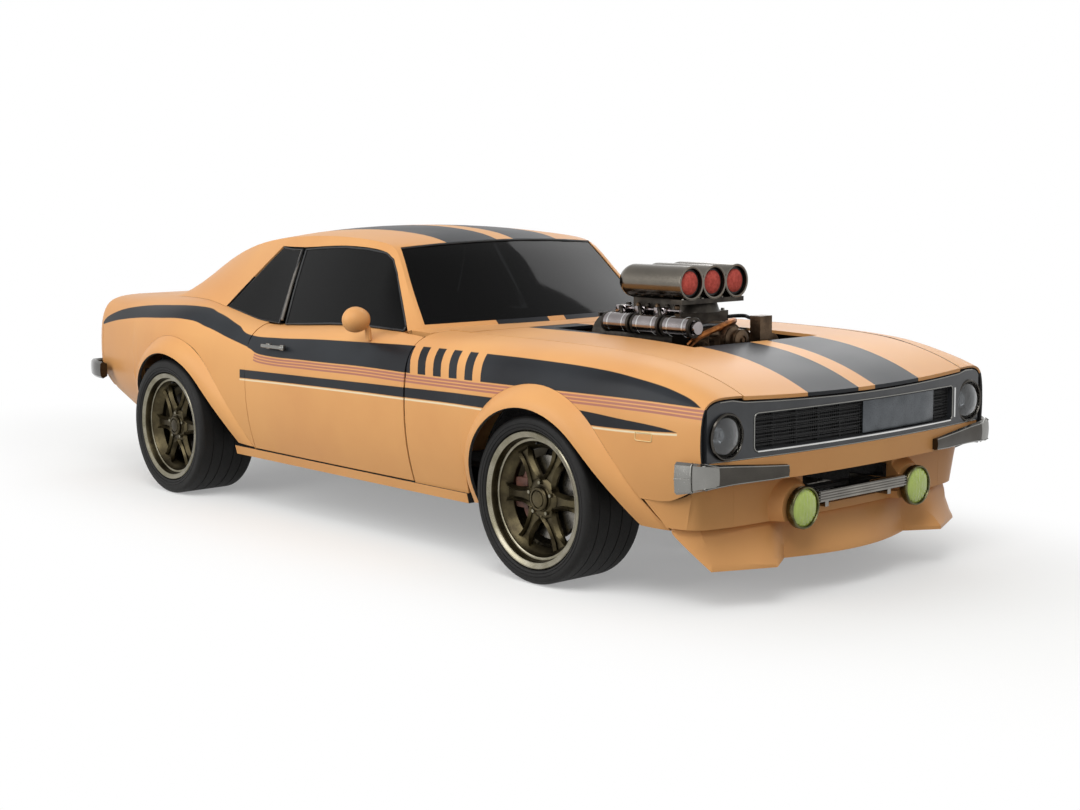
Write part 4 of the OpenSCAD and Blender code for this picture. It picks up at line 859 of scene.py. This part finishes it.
bm = bmesh.new()
for k in range(6):
    x = 1.186 + 0.056 * k
    fitting = [(0, 0), (0.013, 0), (0.013, 0.016), (0.009, 0.019), (0.009, 0.034), (0.012, 0.036),
        (0.012, 0.046), (0.007, 0.052), (0, 0.052)]
    put(bm, turned(fitting, 16), Matrix.Translation((x, -0.158, 0.995)), k % 2)
put(bm, bent([(1.165, -0.176, 1.022), (1.50, -0.176, 1.022)], 0.007), Matrix(), 2)
for x in (1.150, 1.262, 1.374):
    put(bm, block((x, -0.205, 1.000), (x + 0.062, -0.160, 1.036), 0.006), Matrix(), 2)
    put(bm, bent([(x + 0.03, -0.198, 1.03), (x + 0.04, -0.214, 1.034), (x + 0.06, -0.226, 1.02),
        (x + 0.07, -0.232, 0.996)], 0.008, kind="NURBS"), Matrix(), 0)
lay(bm, "fuel_fittings", body_of["blower"], iron, rust, barrel_steel)

bm = bmesh.new()
put(bm, bent([(1.60, -0.225, 0.895), (1.63, -0.222, 0.925), (1.66, -0.18, 0.948), (1.672, -0.12, 0.968),
              (1.668, -0.05, 0.985), (1.64, 0.0, 0.985), (1.60, 0.02, 0.972)], 0.013, kind="NURBS"))
put(bm, bent([(1.50, -0.205, 0.930), (1.56, -0.17, 0.955), (1.62, -0.12, 0.975), (1.655, -0.085, 0.965)],
    0.009, kind="NURBS"), Matrix(), 1)
put(bm, bent([(1.49, 0.12, 0.985), (1.56, 0.15, 0.995), (1.63, 0.10, 0.985), (1.70, 0.078, 0.995)],
    0.008, kind="NURBS"), Matrix(), 1)
lay(bm, "drive_pipes", body_of["engine_drive"], copper, seal)

bm = bmesh.new()
for y, z, r, x0, x1 in ((-0.084, 0.918, 0.050, 1.705, 1.711), (-0.056, 0.912, 0.044, 1.7255, 1.733)):
    face_ring = [(0, 0), (r - 0.004, 0), (r - 0.002, 0.003), (r - 0.010, x1 - x0), (r * 0.45, x1 - x0),
                 (r * 0.42, 0.003), (r * 0.2, 0.003), (r * 0.18, x1 - x0 + 0.004), (0, x1 - x0 + 0.004)]
    put(bm, turned(face_ring, 40), Matrix.Translation((x0, y, z)) @ FRONT)
for k in range(9):
    rib = [(0.0835, -0.0025), (0.0862, -0.0012), (0.0862, 0.0012), (0.0835, 0.0025), (0.0835, -0.0025)]
    put(bm, turned(rib, 48), Matrix.Translation((1.524 + 0.0102 * k, 0, 0.890)) @ FRONT)
lay(bm, "drive_pulley_faces", body_of["engine_drive"], rust)
print("engine details laid")

# %% [markdown]
# ## Mirrors, handles and hinges
# The door mirrors are egg-shaped, in body colour, on a bent stalk, with a flat glass that looks back.
# The handles are grips in dulled plating. The CAD node also holds the door's hinge straps, so the
# straps are copied from it and the rest is made new.

# %% Mirrors, handles and hinge straps
for side, hand in ((1, "left"), (-1, "right")):
    node, body = "door_fittings_" + hand, body_of["door_fittings_" + hand]
    low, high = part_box(node)
    head = Vector((0.268, side * 0.908, high.z - 0.061))
    bm = bmesh.new()
    shell = bmesh.new()
    bmesh.ops.create_uvsphere(shell, u_segments=40, v_segments=24, radius=1)
    for v in shell.verts:
        x = v.co.x
        v.co = Vector((x * (0.056 if x > 0 else 0.048), v.co.y * 0.066, v.co.z * (0.056 - 0.004 * x)))
    cut = bmesh.ops.bisect_plane(shell, geom=shell.verts[:] + shell.edges[:] + shell.faces[:],
                                 plane_co=(-0.030, 0, 0), plane_no=(-1, 0, 0), clear_outer=True)
    rim = [e for e in cut["geom_cut"] if isinstance(e, bmesh.types.BMEdge)]
    back = bmesh.ops.contextual_create(shell, geom=rim)["faces"]
    bmesh.ops.inset_region(shell, faces=back, thickness=0.005, depth=0)
    bmesh.ops.inset_region(shell, faces=back, thickness=0.001, depth=-0.004)
    put(bm, shell, Matrix.Translation(head))
    foot = high.z - 0.149
    put(bm, bent([(0.278, side * 0.850, foot - 0.004), (0.278, side * 0.850, foot + 0.030),
                  (0.277, side * 0.856, foot + 0.055), (0.272, side * 0.884, foot + 0.076),
                  (0.268, side * 0.905, foot + 0.086)], 0.014, kind="NURBS"))
    mirror = lay(bm, "door_mirror_" + hand, body, paint_plain, mirror_glass, crisp=40, hides=[node])
    for face in mirror.data.polygons:
        if len(face.vertices) > 8:
            face.material_index = 1

    grips = [v.co for v in nodes[node].data.vertices if -0.50 < v.co.x < -0.30]
    near = min(abs(v.y) for v in grips)
    far = max(abs(v.y) for v in grips)
    z = (min(v.z for v in grips) + max(v.z for v in grips)) / 2
    bm = bmesh.new()
    for x in (-0.458, -0.342):
        part = block((x - 0.014, near, z - 0.013), (x + 0.014, far - 0.006, z + 0.013), 0.005, 3)
        put(bm, part, Matrix.Scale(side, 4, (0, 1, 0)))
    part = block((-0.508, far - 0.011, z - 0.0085), (-0.318, far, z + 0.0085), 0.005, 4)
    put(bm, part, Matrix.Scale(side, 4, (0, 1, 0)))
    put(bm, turned([(0, 0), (0.0085, 0), (0.0085, 0.004), (0.006, 0.006), (0, 0.006)], 24),
        Matrix.Translation((-0.342, side * (far - 0.004), z)) @ OUT[side], 0)
    lay(bm, "door_handle_" + hand, body, trim_line, hides=[node])

    bm = bmesh.new()
    bm.from_mesh(nodes[node].data)
    bmesh.ops.remove_doubles(bm, verts=bm.verts, dist=2e-5)
    bmesh.ops.delete(bm, geom=[f for f in bm.faces if f.calc_center_median().x < 0.40], context="FACES")
    lay(bm, "door_hinges_" + hand, body, iron, hides=[node])
print("mirrors, handles and hinges laid")

# %% [markdown]
# ## Window rubbers and the strip between the side panes
# Each pane sits in a rubber. The outer face of the pane's own solid gives the line: the rim of that
# face is followed by a thin round bar, so the rubber fits wherever the glass ends.


# %% Window rubbers
def rim_of(node, outward):
    """The loops round the faces of a CAD node that look outward."""
    bm = bmesh.new()
    bm.from_mesh(nodes[node].data)
    bmesh.ops.remove_doubles(bm, verts=bm.verts, dist=2e-5)
    bm.normal_update()
    inner = [f for f in bm.faces if f.normal.dot(outward(f.calc_center_median())) < 0.35]
    bmesh.ops.delete(bm, geom=inner, context="FACES")
    bm.edges.index_update()
    edges = {e for e in bm.edges if len(e.link_faces) == 1}
    loops = []
    while edges:
        # The lowest number comes first, because a set has no order of its own
        edge = min(edges, key=lambda e: e.index)
        edges.discard(edge)
        line, tip = [edge.verts[0].co.copy(), edge.verts[1].co.copy()], edge.verts[1]
        while True:
            step = next((e for e in tip.link_edges if e in edges), None)
            if step is None:
                break
            edges.discard(step)
            tip = step.other_vert(tip)
            line.append(tip.co.copy())
        loops.append(line)
    bm.free()
    return loops


cabin_middle = Vector((-0.4, 0, 0.85))


def out_of_cabin(c):
    """The way from the middle of the cabin out through a pane."""
    return (c - cabin_middle).normalized()


count = 0
for pane in ("windscreen", "rear_glass", "door_glass_right", "door_glass_left"):
    bm = bmesh.new()
    for line in rim_of(pane, out_of_cabin):
        if len(line) > 6:
            put(bm, bent(line[:-1], 0.0055, cyclic=True))
            count += 1
    lay(bm, pane + "_rubber", body_of[pane], seal, crisp=60)
for side, hand in ((1, "left"), (-1, "right")):
    bm = bmesh.new()
    put(bm, bent([(-0.618, side * 0.588, 1.230), (-0.588, side * 0.670, 1.08),
        (-0.552, side * 0.757, 0.908)], 0.0075))
    lay(bm, "pane_strip_" + hand, "chassis", pillar_grey, crisp=60)
print("window rubbers:", count)

# %% [markdown]
# ## Seats
# Two buckets and a rear bench in black leatherette. A cushion is a box rounded until no edge is left,
# crowned in the middle, drawn in along its sides and pressed down along its sewn channels. It is
# shaped directly, because the dark glass hides all but its outline.


# %% Seat cushions
def cushion(size, crown, channels, place):
    """A stuffed cushion: its crown is on +Z, and its channels run along X."""
    bm = bmesh.new()
    bmesh.ops.create_cube(bm, size=2)
    bmesh.ops.subdivide_edges(bm, edges=bm.edges[:], cuts=19, use_grid_fill=True)
    for v in bm.verts:
        v.co /= sum(abs(c) ** 7 for c in v.co) ** (1 / 7)
        x, y, z = v.co
        swell = crown * (1 - x ** 2) * (1 - y ** 2) * max(0, z)
        press = (sum(0.010 * math.exp(-((y - c) / 0.05) ** 2) for c in channels)
                 * max(0, z) * (1 - x ** 8))
        v.co = Vector((x * (1 - 0.03 * (1 - y ** 2) * (1 - z ** 2)) * size[0] / 2,
            y * (1 - 0.03 * (1 - x ** 2) * (1 - z ** 2)) * size[1] / 2, z * size[2] / 2 + swell - press))
    bmesh.ops.transform(bm, matrix=place, verts=bm.verts)
    return bm


def leaning(x, y, z, lean, wide, thick, tall):
    """The place of a back rest that leans back by lean degrees, its lower rear corner at x and z."""
    turn = Matrix.Rotation(math.radians(-lean), 4, "Y")
    stand = Matrix.Rotation(math.radians(90), 4, "Y")
    return Matrix.Translation((x, y, z)) @ turn @ Matrix.Translation((thick / 2, 0, tall / 2)) @ stand


made = []
pleats = (-0.55, -0.27, 0, 0.27, 0.55)
for hand, y in (("left", 0.39), ("right", -0.39)):
    made.append(("seat_base_" + hand, cushion((0.49, 0.46, 0.125), 0.018, pleats,
        Matrix.Translation((-0.085, y, 0.325)))))
    made.append(("seat_back_" + hand, cushion((0.48, 0.46, 0.10), 0.014, pleats,
        leaning(-0.33, y, 0.38, 18, 0.48, 0.11, 0.50))))
    made.append(("head_rest_" + hand, cushion((0.17, 0.25, 0.08), 0.008, (),
        Matrix.Translation((-0.475, y, 0.915)) @ Matrix.Rotation(math.radians(72), 4, "Y"))))
made.append(("bench_base", cushion((0.38, 1.10, 0.095), 0.014, (-0.5, 0, 0.5),
    Matrix.Translation((-0.99, 0, 0.59)))))
made.append(("bench_back", cushion((0.41, 1.10, 0.09), 0.012, (-0.5, 0, 0.5),
    leaning(-1.18, 0, 0.60, 24, 1.12, 0.10, 0.42))))
for name, bm in made:
    piece = lay(bm, name, "chassis", hide, crisp=180, hides=["seats"])
print("cushions:", len(made))

# %% [markdown]
# ## Rear end
# The rear lamps are six red blocks in bright frames. The plate is blank enamelled sheet on two screws.

# %% Rear frames and plate
low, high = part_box("tail_lamps")
bm = bmesh.new()
for k in range(3):
    for side in (1, -1):
        y = 0.363 + 0.136 * k
        outline = [(y + a * 0.0655, 0.730 + b * 0.0725) for a, b in ((-1, -1), (1, -1), (1, 1), (-1, 1))]
        put(bm, bent([(high.x - 0.003, side * a, b) for a, b in outline], 0.0035, cyclic=True))
lay(bm, "tail_lamp_frames", "chassis", chrome, crisp=60)
bm = bmesh.new()
put(bm, block((high.x - 0.004, -0.152, 0.628), (high.x - 0.001, 0.152, 0.778), 0.0012))
for y in (-0.089, 0.089):
    put(bm, turned([(0, 0), (0.007, 0), (0.0065, 0.003), (0.003, 0.0042), (0, 0.0042)], 20),
        Matrix.Translation((high.x - 0.004, y, 0.66)) @ Matrix.Rotation(math.radians(-90), 4, "Y"), 1)
lay(bm, "rear_plate", "chassis", plate_white, brake)
print("rear frames and plate laid")

# %% [markdown]
# ## The studio
# The picture has a pure white ground. A pale floor near the car takes its shadow, and further out it
# turns to white for the eye and for reflections only, so that no light is added. A soft key stands
# above the camera's side and a fill and a back lamp keep the rest even. The world is white at the
# horizon and greyer overhead, because a plain white dome would make every dark panel pale.

# %% Floor
bm = bmesh.new()
bmesh.ops.create_grid(bm, x_segments=1, y_segments=1, size=60)
floor_mesh = bpy.data.meshes.new("floor")
bm.to_mesh(floor_mesh)
bm.free()
floor = bpy.data.objects.new("floor", floor_mesh)
scene.collection.objects.link(floor)


def eye_ray(tree):
    """1 for rays from the camera, from mirrors and through glass."""
    path = add(tree, "LightPath")
    seen = path.outputs["Is Camera Ray"]
    for kind in ("Is Glossy Ray", "Is Transmission Ray"):
        seen = add(tree, "Math", {0: seen, 1: path.outputs[kind]}, operation="ADD",
            use_clamp=True).outputs[0]
    return seen


pale = bpy.data.materials.new("pale_floor")
pale.use_nodes = True
tree = pale.node_tree
matt = tree.nodes["Principled BSDF"]
matt.inputs["Roughness"].default_value = 0.9
eyes = eye_ray(tree)
# Light that bounces from the floor is kept low, so the car's underside stays dark as in the picture
tint = add(tree, "Mix", {0: eyes, 6: linear("8c8a86"), 7: linear("f4f4f2")}, data_type="RGBA").outputs[2]
tree.links.new(tint, matt.inputs["Base Color"])
place = add(tree, "TexCoord").outputs["Object"]
out = add(tree, "VectorMath", {0: place, 1: (0.36, 1.0, 1.0)}, operation="MULTIPLY").outputs[0]
reach = add(tree, "VectorMath", {0: out}, operation="LENGTH").outputs["Value"]
away = add(tree, "MapRange", {"Value": reach, 1: 0.95, 2: 1.9, 3: 0.3},
    interpolation_type="SMOOTHSTEP").outputs[0]
away = add(tree, "Math", {0: away, 1: eyes}, operation="MULTIPLY").outputs[0]
glow = add(tree, "Emission", {"Color": (1, 1, 1, 1), "Strength": 1.0}).outputs[0]
mixed = add(tree, "MixShader", {0: away, 1: matt.outputs[0], 2: glow}).outputs[0]
tree.links.new(mixed, tree.nodes["Material Output"].inputs["Surface"])
floor.data.materials.append(pale)
print("floor", floor.dimensions[:])

# %% Lamps and world
for name, place, aim, size, power in (("key", (4.2, -4.2, 7.2), (0.3, 0, 0.6), 5.0, 345),
                                      ("fill", (-1.5, -7.0, 3.6), (-0.2, 0, 0.6), 5.0, 285),
                                      ("back", (-2.0, 6.0, 5.0), (0, 0, 0.8), 5.0, 175)):
    lamp = bpy.data.lights.new(name, "AREA")
    lamp.size, lamp.energy = size, power
    stand = bpy.data.objects.new(name, lamp)
    stand.location = place
    stand.rotation_euler = (Vector(aim) - Vector(place)).to_track_quat("-Z", "Y").to_euler()
    scene.collection.objects.link(stand)

world = bpy.data.worlds.new("studio")
scene.world = world
world.use_nodes = True
tree = world.node_tree
tree.nodes.clear()
upward = add(tree, "SeparateXYZ", {0: add(tree, "TexCoord").outputs["Generated"]}).outputs[2]
shade = add(tree, "MapRange", {"Value": upward, 1: 0.25, 2: 0.9, 3: 1.0, 4: 0.55}).outputs[0]
dim = add(tree, "Background", {"Color": (1, 1, 1, 1), "Strength": 0.46}).outputs[0]
white = add(tree, "Background", {"Color": (1, 1, 1, 1), "Strength": shade}).outputs[0]
mixed = add(tree, "MixShader", {0: eye_ray(tree), 1: dim, 2: white}).outputs[0]
add(tree, "OutputWorld", {"Surface": mixed})
scene.view_settings.view_transform = "Standard"
